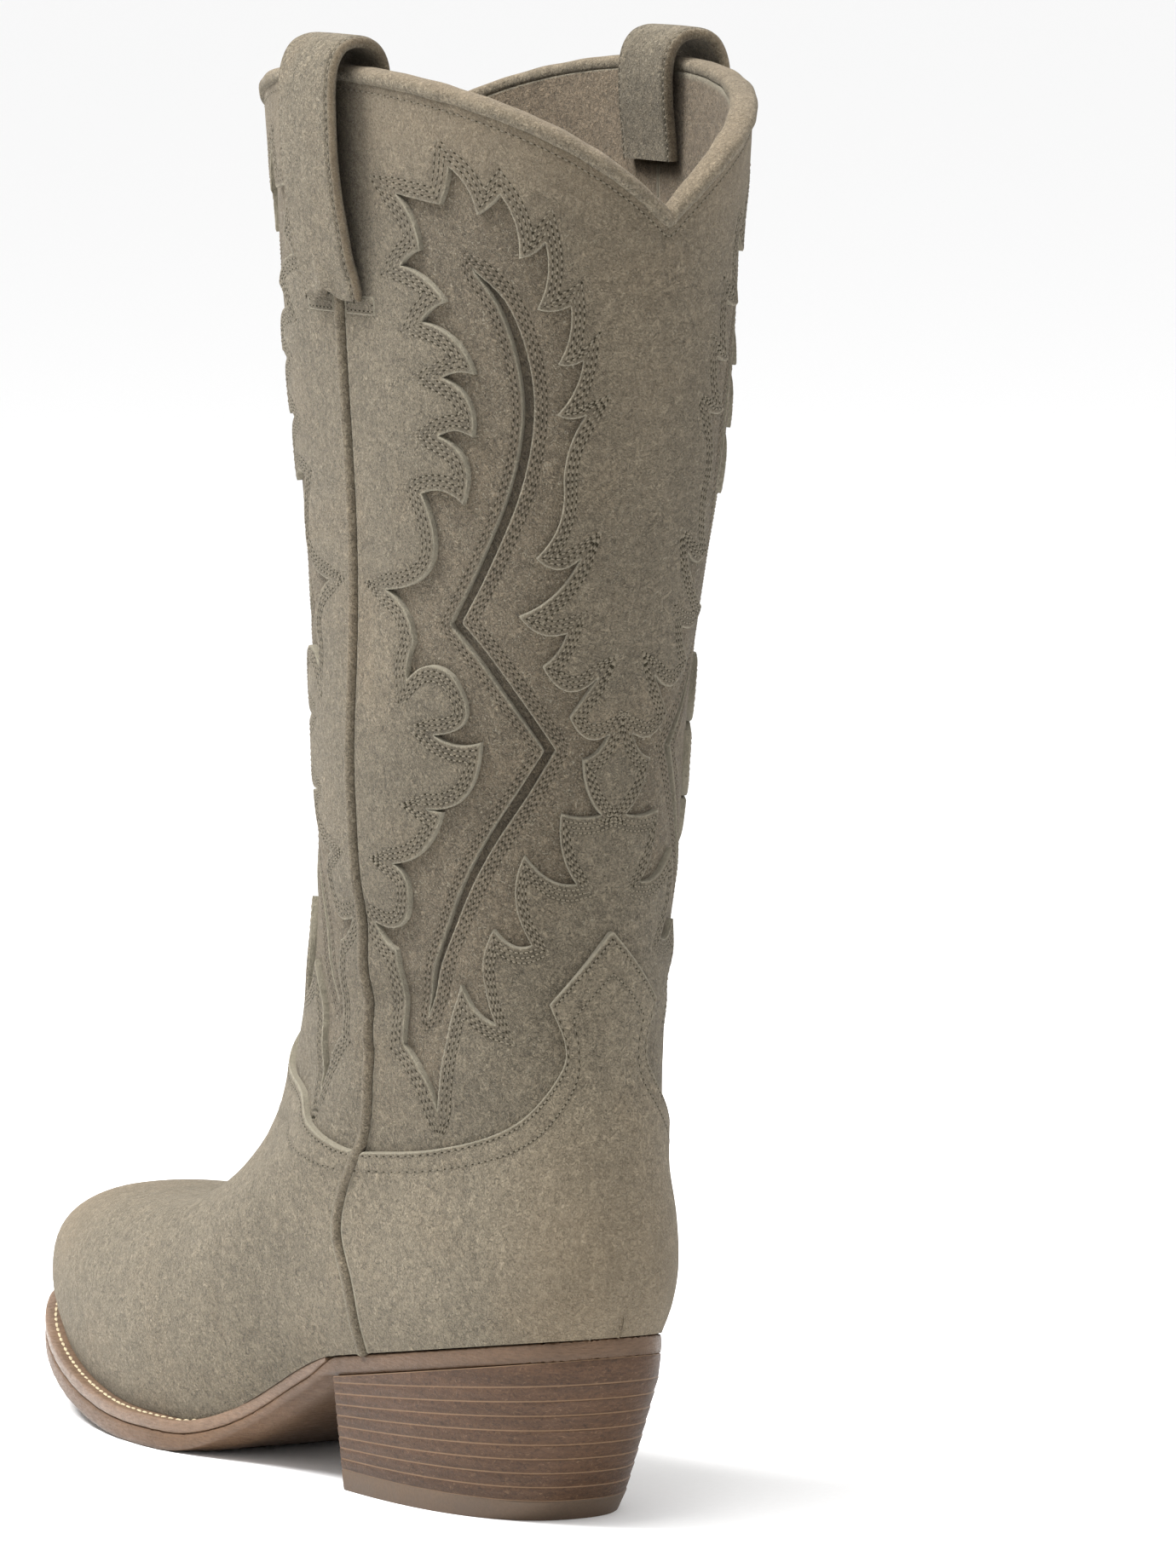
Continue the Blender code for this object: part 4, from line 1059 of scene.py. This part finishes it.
def make_piping(looks):
    for seam, word in zip(SEAMS, ("outer", "inner")):
        top = float(up_at(seam, top_height(np.array(seam)) - 1.0))
        ups = np.linspace(COVER_START, top, 260)
        raised = 1.1 - 1.25 * blend(ups, float(up_at(seam, 84.0)), float(up_at(seam, 90.0)))
        centres = lifted(seam, ups, raised)
        out = outward(seam, ups)
        along = unit(np.gradient(centres, axis=0))
        side = unit(np.cross(out, along))
        angles = np.arange(16) * TAU / 16
        section = np.stack([np.cos(angles), np.sin(angles)], axis=1) * PIPING_RADIUS * MM
        points, faces = swept(centres, side, out, section, False)
        piece(f"side_piping_{word}_roll", points, faces, looks["piping"], [f"side_piping_{word}"],
              painted(len(points), 0.1))


def make_strap(looks, word, seam):
    """A folded strap sewn along both edges, flattened onto the boot at its outer end."""
    half = STRAP_WIDTH / 2
    path = through(STRAP_PATH, 7)
    edge_steps = np.array([0, 0.12, 0.35, 0.7, 1.0, 1.25, 1.5, 1.9, 2.6])
    inner_steps = np.linspace(-half + 4.2, half - 4.2, 9)
    across = np.concatenate([-half + edge_steps, inner_steps, (half - edge_steps)[::-1]])
    count = len(path)
    length = np.concatenate([[0], np.cumsum(np.linalg.norm(np.diff(path, axis=0), axis=1))])
    near_end = 1 - blend(length, 0.0, 12.0)
    s, place_on_path = np.meshgrid(across, np.arange(count))
    arch = np.exp(-((s / 2.6) ** 2))
    offset = path[place_on_path, 0] - 1.65 * near_end[place_on_path] * (1 - arch)
    height = path[place_on_path, 1] + 2.6 * arch * (1 - blend(length, 0.0, 6.5))[place_on_path]
    ups = up_at(seam, path[:, 1])
    around = seam + around_step(seam, ups, 1.0)[place_on_path] * s
    middle = lifted(around, up_at(around, height), offset)
    normal = unit(np.cross(np.gradient(middle, axis=0), np.gradient(middle, axis=1)))
    if normal[20, len(across) // 2] @ outward(np.array(seam), ups[20]) < 0:
        normal = -normal
    q = clamp((np.abs(s) - (half - STRAP_THICKNESS / 2)) / (STRAP_THICKNESS / 2))
    thickness = STRAP_THICKNESS / 2 * np.sqrt(1 - q**2)
    thickness = thickness * (1 - 0.45 * (1 - blend(length, 0.0, 1.2))[place_on_path])
    groove = STRAP_GROOVE * np.exp(-(((np.abs(s) - (half - STRAP_SEAM)) / 0.4) ** 2))
    crown = 0.15 * (1 - (s / half) ** 2)
    outer = middle + normal * ((STRAP_THICKNESS / 2 + thickness - groove + crown) * MM)[..., None]
    inner = middle + normal * ((STRAP_THICKNESS / 2 - thickness) * MM)[..., None]
    ring = np.concatenate([outer, inner[:, -2:0:-1]], axis=1)
    wide = ring.shape[1]
    points = ring.reshape(-1, 3)
    faces = [(i * wide + j, i * wide + (j + 1) % wide, (i + 1) * wide + (j + 1) % wide, (i + 1) * wide + j)
             for i in range(count - 1) for j in range(wide)]
    for row in (0, count - 1):
        n = len(across)
        cap = [(row * wide + j, row * wide + j + 1, row * wide + (wide - 1 - j),
                row * wide + (wide - j) % wide) for j in range(1, n - 2)]
        cap.append((row * wide, row * wide + 1, row * wide + wide - 1))
        cap.append((row * wide + n - 2, row * wide + n - 1, row * wide + n))
        faces += [face[::-1] for face in cap] if row == 0 else cap
    under = (count, wide - len(across))
    seam_distance = np.abs(np.abs(s) - (half - STRAP_SEAM))
    folded = np.concatenate([seam_distance, np.full(under, FAR)], axis=1)
    sandy_amount = np.concatenate([0.6 * blend(np.abs(s), half - 1.2, half), np.full(under, 0.2)], axis=1)
    mesh = bmesh.new()
    made = [mesh.verts.new(p) for p in points.tolist()]
    for face in faces:
        if len(set(face)) > 2:
            mesh.faces.new([made[i] for i in face])
    bmesh.ops.recalc_face_normals(mesh, faces=mesh.faces)
    mesh.verts.index_update()
    clean = [tuple(v.index for v in face.verts) for face in mesh.faces]
    mesh.free()
    piece(f"folded_pull_strap_{word}", points, clean, looks["strap"], [f"pull_strap_{word}"],
          {**painted(len(points), sandy_amount.ravel()), "seam": folded.ravel()})
    strap_stitching(looks, word, middle, normal, s, half)


def strap_stitching(looks, word, middle, normal, s, half):
    """Stitches along both edges of a strap, from its outer end over the top to its inner end."""
    parts, dark = [], []
    for side in (-1, 1):
        place = side * (half - STRAP_SEAM)
        column = np.argmin(np.abs(s[0] - place))
        line = middle[:, column] + normal[:, column] * (STRAP_THICKNESS - 0.34) * MM
        steps = np.concatenate([[0], np.cumsum(np.linalg.norm(np.diff(line, axis=0), axis=1))])
        places = np.linspace(0, steps[-1], round(steps[-1] / (PITCH * MM)) + 1)
        dots = np.stack([np.interp(places, steps, column_) for column_ in line.T], axis=1)
        turned = unit(np.stack([np.interp(places, steps, c) for c in normal[:, column].T], axis=1))
        parts.append(((dots[:-1] + dots[1:]) / 2, np.diff(dots, axis=0), turned[:-1]))
        dark.append((dots, np.gradient(dots, axis=0), turned))
    parts, dark = ([np.concatenate(group) for group in zip(*both)] for both in (parts, dark))
    points, faces = copies(thread_template(), *parts, (PITCH * MM, 0.00025, 0.00025))
    # A dark mark at each hole: painted shade.
    holes, hole_faces = copies(hole_shade_template(), *dark, (0.00056, 0.00028, 0.00018))
    every = faces + [tuple(i + len(points) for i in face) for face in hole_faces]
    which = [0] * len(faces) + [1] * len(hole_faces)
    piece(f"pull_strap_{word}_stitching", np.concatenate([points, holes]), every, looks["thread"],
          material_of=which)


def make_strap_tabs(looks, word, seam):
    """The strap's sewn ends: two short bars on the shaft under its outer end."""
    def place(flat):
        around = seam + 0.25 * flat[:, 0] / PANEL_ARC
        return around, up_at(around, flat[:, 1])
    for side, name in ((1, "a"), (-1, "b")):
        x = sorted((side * 2.3, side * 12.6))
        corners = np.array([(x[0], 289.4), (x[1], 289.4), (x[1], 294.0), (x[0], 294.0)])
        loop = spaced(corners, 1.0, closed=True)
        rows = [np.array([(x[0] + 0.7, height), (x[1] - 0.7, height)]) for height in (290.4, 291.9)]
        leather(f"strap_tab_{word}_{name}", place, [loop], (-0.15, 0.22), looks["suede"], (), rows,
                steps=(0.16, 0.45, 0.9, 1.5), coarse=1.5, fine=0.7)
        stitching(f"strap_tab_{word}_{name}_stitching", place, rows, 0.22 - GROOVE, looks["thread"],
                      pitch=1.4)


# ---------------------------------------------------------------- sole and heel


def foot_edge(reach, count=420):
    """The edge of the lasted upper moved outward, and its y before the move. Clockwise from above."""
    around = np.arange(count) / count
    p = skin(around, 0.0)
    across = skin(around + 0.002, 0.0) - skin(around - 0.002, 0.0)
    out = unit(np.stack([-across[:, 1], across[:, 0]], axis=1))
    length = reach(p[:, 1]) if callable(reach) else np.full(count, reach)
    return p[:, :2] + out * length[:, None], p[:, 1]


def sole_reach(y):
    return SEAT_REACH + (WELT_REACH - SEAT_REACH) * blend(-y, *REACH_Y)


def below_sole_line(y, drop):
    step = 0.001
    slope = (sole_line(y + step) - sole_line(y - step)) / (2 * step)
    return sole_line(y) - drop * np.sqrt(1 + slope * slope)


def sole_drop(y):
    return SOLE_DROP + (SEAT_DROP - SOLE_DROP) * blend(y, *WAIST)


def slab(name, loops, heights, look, replaces, rounding=0.0007, bevel=None, groove=None, wear_and_painted_light=None,
         bulge=0.0002):
    """A flat piece of the sole, from outlines in metres; heights gives its two faces for places y."""
    flat_loops = [loop[::-1] * 1000 for loop in loops]
    edge = distances([closed(loop) for loop in flat_loops])
    round_mm = rounding * 1000

    def rounded(flat):
        near = clamp(edge(flat), 0, round_mm)
        return round_mm - np.sqrt(round_mm**2 - (round_mm - near) ** 2)

    def top(flat):
        drop = rounded(flat) + (groove(edge(flat)) if groove else 0)
        return in_frame(flat, heights(flat[:, 1] * MM)[1] - drop * MM)

    def bottom(flat):
        rise = rounded(flat) + (bevel(flat, edge(flat)) if bevel else 0)
        return in_frame(flat, heights(flat[:, 1] * MM)[0] + rise * MM)

    steps = (0.25, 0.7, 1.2, 1.8, 2.4, 3.2, 4.2, 6.0, 8.5)
    inner = mesh_points(flat_loops, steps, 2.2, 4.5)
    wall = [(share, bulge * 1000 * math.sin(math.pi * share)) for share in (0.2, 0.4, 0.6, 0.8)]
    points, faces, _, _ = solid(flat_loops, top, bottom, inner, inner, wall)
    attributes = painted(len(points), 0.0 if wear_and_painted_light is None else wear_and_painted_light(points))
    piece(name, points, outward_faces(points, faces), look, replaces, attributes)


def in_frame(flat, z):
    return np.stack([flat[:, 0] * MM, flat[:, 1] * MM + FRAME_SHIFT_Y, z], axis=1)


def make_sole(looks):
    edge, _ = foot_edge(sole_reach)

    def outsole_heights(y):
        drop = sole_drop(y)
        return below_sole_line(y, drop + SOLE_THICKNESS), below_sole_line(y, drop)

    def waist_bevel(flat, near):
        y = flat[:, 1] * MM
        waist = blend(y, -0.040, -0.005) * (1 - blend(y, 0.030, 0.040))
        return 2.6 * waist * (1 - blend(near, 0.5, 7.0))

    # Painted shade on the outsole: darker along the bottom of its edge and towards the waist and the heel.
    def sole_painted_shade(points):
        _, y, z = points.T
        place = y - FRAME_SHIFT_Y
        low = (z - below_sole_line(place, sole_drop(place) + SOLE_THICKNESS)) / SOLE_THICKNESS
        return clamp(0.45 * (1 - blend(low, 0.0, 0.45)) + 0.32 * blend(place, 0.020, 0.045))

    slab("leather_outsole", [edge], outsole_heights, looks["outsole"], ["outsole"],
         bevel=waist_bevel, wear_and_painted_light=sole_painted_shade)

    outer, y = foot_edge(sole_reach)
    inner, _ = foot_edge(-0.007)
    kept = np.flatnonzero(y <= WELT_END_Y)
    welt = np.concatenate([outer[kept], inner[kept[::-1]]])

    def welt_heights(y):
        return below_sole_line(y, np.maximum(sole_drop(y), WELT_TOP + 0.0003)), below_sole_line(y, WELT_TOP)

    def thread_groove(near):
        return 0.35 * np.exp(-(((near - 2.55) / 0.5) ** 2))

    slab("stitched_welt", [welt], welt_heights, looks["welt"], ["welt"], rounding=0.0005,
         groove=thread_groove)
    lines, y = foot_edge(lambda y: sole_reach(y) - 0.00255, 900)
    line = lines[y <= WELT_END_Y - 0.003]
    dots = spaced(line, 0.0031)
    heights = below_sole_line(dots[:, 1], WELT_TOP) - 0.00020
    dots = np.stack([dots[:, 0], dots[:, 1] + FRAME_SHIFT_Y, heights], axis=1)
    upright = np.tile((0.0, 0.0, 1.0), (len(dots) - 1, 1))
    points, faces = copies(thread_template(), (dots[:-1] + dots[1:]) / 2, np.diff(dots, axis=0), upright,
                           (0.0044, 0.00042, 0.00042))
    piece("welt_thread", points, faces, looks["welt_thread"])

    sock, _ = foot_edge(-SOCK_INSET, 240)

    def sock_heights(y):
        return below_sole_line(y, -SOCK[0]), below_sole_line(y, -SOCK[1])

    slab("sock_leather", [sock], sock_heights, looks["lining"], ["sock_lining"],
         rounding=0.0005)


def stack_top(y):
    return below_sole_line(y, sole_drop(y) + SOLE_THICKNESS)


def rand_bottom(y):
    return stack_top(BREAST_Y) - RAND_THICKNESS + LIFT_SLOPE * (y - BREAST_Y)


def heel_outline(depth, inset, steps=44):
    """A flat front and a round back, at a depth from 0 at the seat to 1 on the floor."""
    half_width, back_y = (top + (low - top) * depth for top, low in zip(HEEL_SEAT, HEEL_BASE))
    half_width, back_y, front = half_width - inset, back_y - inset, BREAST_Y + inset
    angle = math.pi * (np.arange(2 * steps + 1) / (2 * steps) - 0.5)
    x = half_width * np.sign(angle) * np.abs(np.sin(angle)) ** (2 / HEEL_SQUARENESS)
    y = front + (back_y - front) * np.maximum(0.0, np.cos(angle)) ** (2 / HEEL_SQUARENESS)
    front_x = np.linspace(half_width, -half_width, 14)[1:-1]
    return np.concatenate([np.stack([x, y], axis=1), np.stack([front_x, np.full(12, front)], axis=1)])


def heel_layer(name, upper, lower, look, replaces, groove=0.00016, lip=0.00034):
    """A slice of the heel between two heights, with its edges eased so that a line shows between slices."""
    rings, edge = [], []
    profile = [(0.0, groove * 6), (0.0, groove), (lip, 0.0), (None, 0.0), (-lip, 0.0), (0.0, groove),
               (0.0, groove * 6)]
    for k, (shift, inset) in enumerate(profile):
        up, down = upper(BREAST_Y), lower(BREAST_Y)
        base = up if k < 3 else (up + down) / 2 if k == 3 else down
        depth = 1 - base / stack_top(BREAST_Y)
        flat = heel_outline(float(depth), inset)
        y = flat[:, 1]
        if shift is None:
            z = (upper(y) + lower(y)) / 2
        else:
            z = (upper(y) if k < 3 else lower(y)) - shift
        rings.append(np.stack([flat[:, 0], y + FRAME_SHIFT_Y, z], axis=1))
        edge.append(np.full(len(flat), abs(k - 3) < 1.5))
    count = len(rings[0])
    points = np.concatenate(rings)
    faces = [(k * count + i, k * count + (i + 1) % count,
              (k + 1) * count + (i + 1) % count, (k + 1) * count + i)
             for k in range(len(rings) - 1) for i in range(count)]
    faces += [tuple(range(count))[::-1], tuple(range((len(rings) - 1) * count, len(rings) * count))]
    obj = piece(name, points, outward_faces(points, faces), look, replaces,
                {"edge": np.concatenate(edge).astype(float), "wear_and_painted_light": np.zeros(len(points))})
    return obj


def cut_nail_holes(obj):
    """Round holes in the underside of the heel, for its nails."""
    mesh = bpy.data.meshes.new("nail_hole_cutter")
    shape = bmesh.new()
    for x, y in NAIL_PLACES:
        made = bmesh.ops.create_cone(shape, cap_ends=True, segments=24,
                                      radius1=NAIL_HOLE, radius2=NAIL_HOLE, depth=0.04)
        bmesh.ops.translate(shape, verts=made["verts"], vec=(x, y + FRAME_SHIFT_Y, -0.0041))
    shape.to_mesh(mesh)
    shape.free()
    cutter = linked("nail_hole_cutter", mesh)
    cut = obj.modifiers.new("nail holes", "BOOLEAN")
    cut.operation = "DIFFERENCE"
    cut.object = cutter
    bpy.context.view_layer.update()
    ready = bpy.data.meshes.new_from_object(obj.evaluated_get(bpy.context.evaluated_depsgraph_get()))
    obj.modifiers.clear()
    obj.data = ready
    bpy.data.objects.remove(cutter)


def make_heel(looks):
    heel_layer("waxed_heel_rand", stack_top, rand_bottom, looks["stack"],
               ["heel_rand"], groove=0.0001)

    def cut_height(share):
        return lambda y: rand_bottom(y) + (TOP_PIECE_HEIGHT - rand_bottom(y)) * share

    for i in range(LIFTS):
        upper, lower = cut_height(i / LIFTS), cut_height((i + 1) / LIFTS)
        lift = heel_layer(f"stacked_lift_{i + 1}", upper, lower, looks["stack"],
                          [f"heel_lift_{i + 1}"])
        if i >= LIFTS - 4:
            cut_nail_holes(lift)
    top_piece = heel_layer("rubber_top_piece", lambda y: TOP_PIECE_HEIGHT + 0 * y,
                           lambda y: 0 * y, looks["rubber"],
                           ["heel_top_piece"], lip=0.0003)
    cut_nail_holes(top_piece)


# ---------------------------------------------------------------- the studio

FOCAL = 8.20652  # of the picture's height
TARGET = Vector((0, 0.07 + FRAME_SHIFT_Y, 0.18))
TARGET_OFF_CENTRE = (-0.054348, 0.015761)  # where the target shows, of the picture's height, right and up
CAMERA_DISTANCE = 3.1


def direction(azimuth, elevation):
    a, e = math.radians(azimuth), math.radians(elevation)
    return Vector((math.sin(a) * math.cos(e), -math.cos(a) * math.cos(e), math.sin(e)))


def aimed(obj, azimuth, elevation, distance):
    towards = direction(azimuth, elevation)
    obj.location = TARGET + towards * distance
    obj.rotation_euler = towards.to_track_quat("Z", "Y").to_euler()


def make_camera():
    data = bpy.data.cameras.new("camera")
    data.sensor_width = data.sensor_height = 36
    data.lens = FOCAL * 36
    data.shift_x, data.shift_y = -TARGET_OFF_CENTRE[0], -TARGET_OFF_CENTRE[1]
    camera = linked("camera", data)
    aimed(camera, 151, 5.8, CAMERA_DISTANCE)
    bpy.context.scene.camera = camera


def make_light(name, azimuth, elevation, distance, size, power):
    data = bpy.data.lights.new(name, "AREA")
    data.shape = "RECTANGLE"
    data.size, data.size_y = size
    data.energy = power
    aimed(linked(name, data), azimuth, elevation, distance)


def make_studio():
    make_light("key", 58, 56, 1.5, (0.6, 0.6), 40)
    make_light("top", 110, 78, 1.6, (0.8, 0.8), 18)
    make_light("fill", 235, 25, 2.0, (1.0, 1.4), 4)
    world = bpy.data.worlds.new("studio")
    world.use_nodes = True
    world.node_tree.nodes["Background"].inputs["Color"].default_value = (1.0, 1.0, 1.0, 1)
    world.node_tree.nodes["Background"].inputs["Strength"].default_value = 1.0
    bpy.context.scene.world = world
    bpy.context.scene.view_settings.view_transform = "Standard"
    mesh = bpy.data.meshes.new("floor")
    size = 30.0
    corners = [(-size, -size, 0), (size, -size, 0), (size, size, 0), (-size, size, 0)]
    mesh.from_pydata(corners, [], [(0, 1, 2, 3)])
    floor = linked("floor", mesh)
    look = Look("floor_paper", Specular_IOR_Level=0.1)
    tooth = look.noise(500, 2)
    mesh.materials.append(look.finish(look.colours(tooth, [(0.3, (0.93,) * 3), (0.7, (0.95,) * 3)]),
                                      look.value(tooth, 0, 1, 0.85, 0.95)))


# ---------------------------------------------------------------- all of it

GREIGE = (0.118, 0.099, 0.070)
BROWN = (0.116, 0.094, 0.065)


def make_looks():
    hole = painted_hole_shade()
    return {
        "suede": suede("suede_overlay", GREIGE, fleck=0.30),
        "foot": suede("suede_foot", scaled(GREIGE, 1.13), fleck=0.20, nap=0.8),
        "inset": suede("suede_panel", BROWN, fleck=0.55, nap=1.25),
        "backing": suede("suede_backing", scaled(BROWN, 0.60), fleck=0.1),
        "binding": suede("suede_binding", scaled(GREIGE, 1.35), fleck=0.3, nap=1.1),
        "piping": suede("suede_piping", GREIGE, fleck=0.3),
        "strap": suede("suede_strap", scaled(GREIGE, 1.12), fleck=0.35),
        "lining": suede("suede_lining", (0.130, 0.100, 0.068), fleck=0.2, nap=0.7),
        "thread": [thread("thread_greige", (0.150, 0.128, 0.090)), hole],
        "inset_thread": [thread("thread_brown", (0.130, 0.106, 0.074)), hole],
        "outsole": sole_leather("outsole_leather", (0.108, 0.060, 0.031), (0.048, 0.028, 0.015)),
        "welt": sole_leather("welt_leather", (0.155, 0.098, 0.062), (0.12, 0.07, 0.04), 0.38),
        "welt_thread": thread("welt_thread_cream", (0.50, 0.42, 0.27)),
        "stack": stacked_leather("stacked_heel_leather", (0.062, 0.031, 0.015), (0.024, 0.013, 0.007),
                                 (0.20, 0.125, 0.072)),
        "rubber": rubber("taupe_rubber", (0.092, 0.061, 0.039)),
        "board": board("fibre_board", (0.42, 0.33, 0.22)),
        "cork": board("cork_filling", (0.36, 0.22, 0.12)),
        "steel": steel("brushed_steel"),
    }


CARRIED_OVER = {
    "board": ["insole", "counter_stiffener", "toe_puff"],
    "cork": ["cork_filler"],
    "steel": ["shank", *(f"heel_nail_{i}" for i in (1, 2, 3, 4))],
}

make_camera()
make_studio()
looks = make_looks()
for look, names in CARRIED_OVER.items():
    for name in names:
        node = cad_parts[name]
        node.data.materials.clear()
        node.data.materials.append(looks[look])
make_shaft(looks)
make_foot(looks)
make_linings(looks)
make_binding(looks)
make_piping(looks)
for seam, word in zip(SEAMS, ("outer", "inner")):
    make_strap(looks, word, seam)
    make_strap_tabs(looks, word, seam)
make_sole(looks)
make_heel(looks)

bpy.context.view_layer.update()
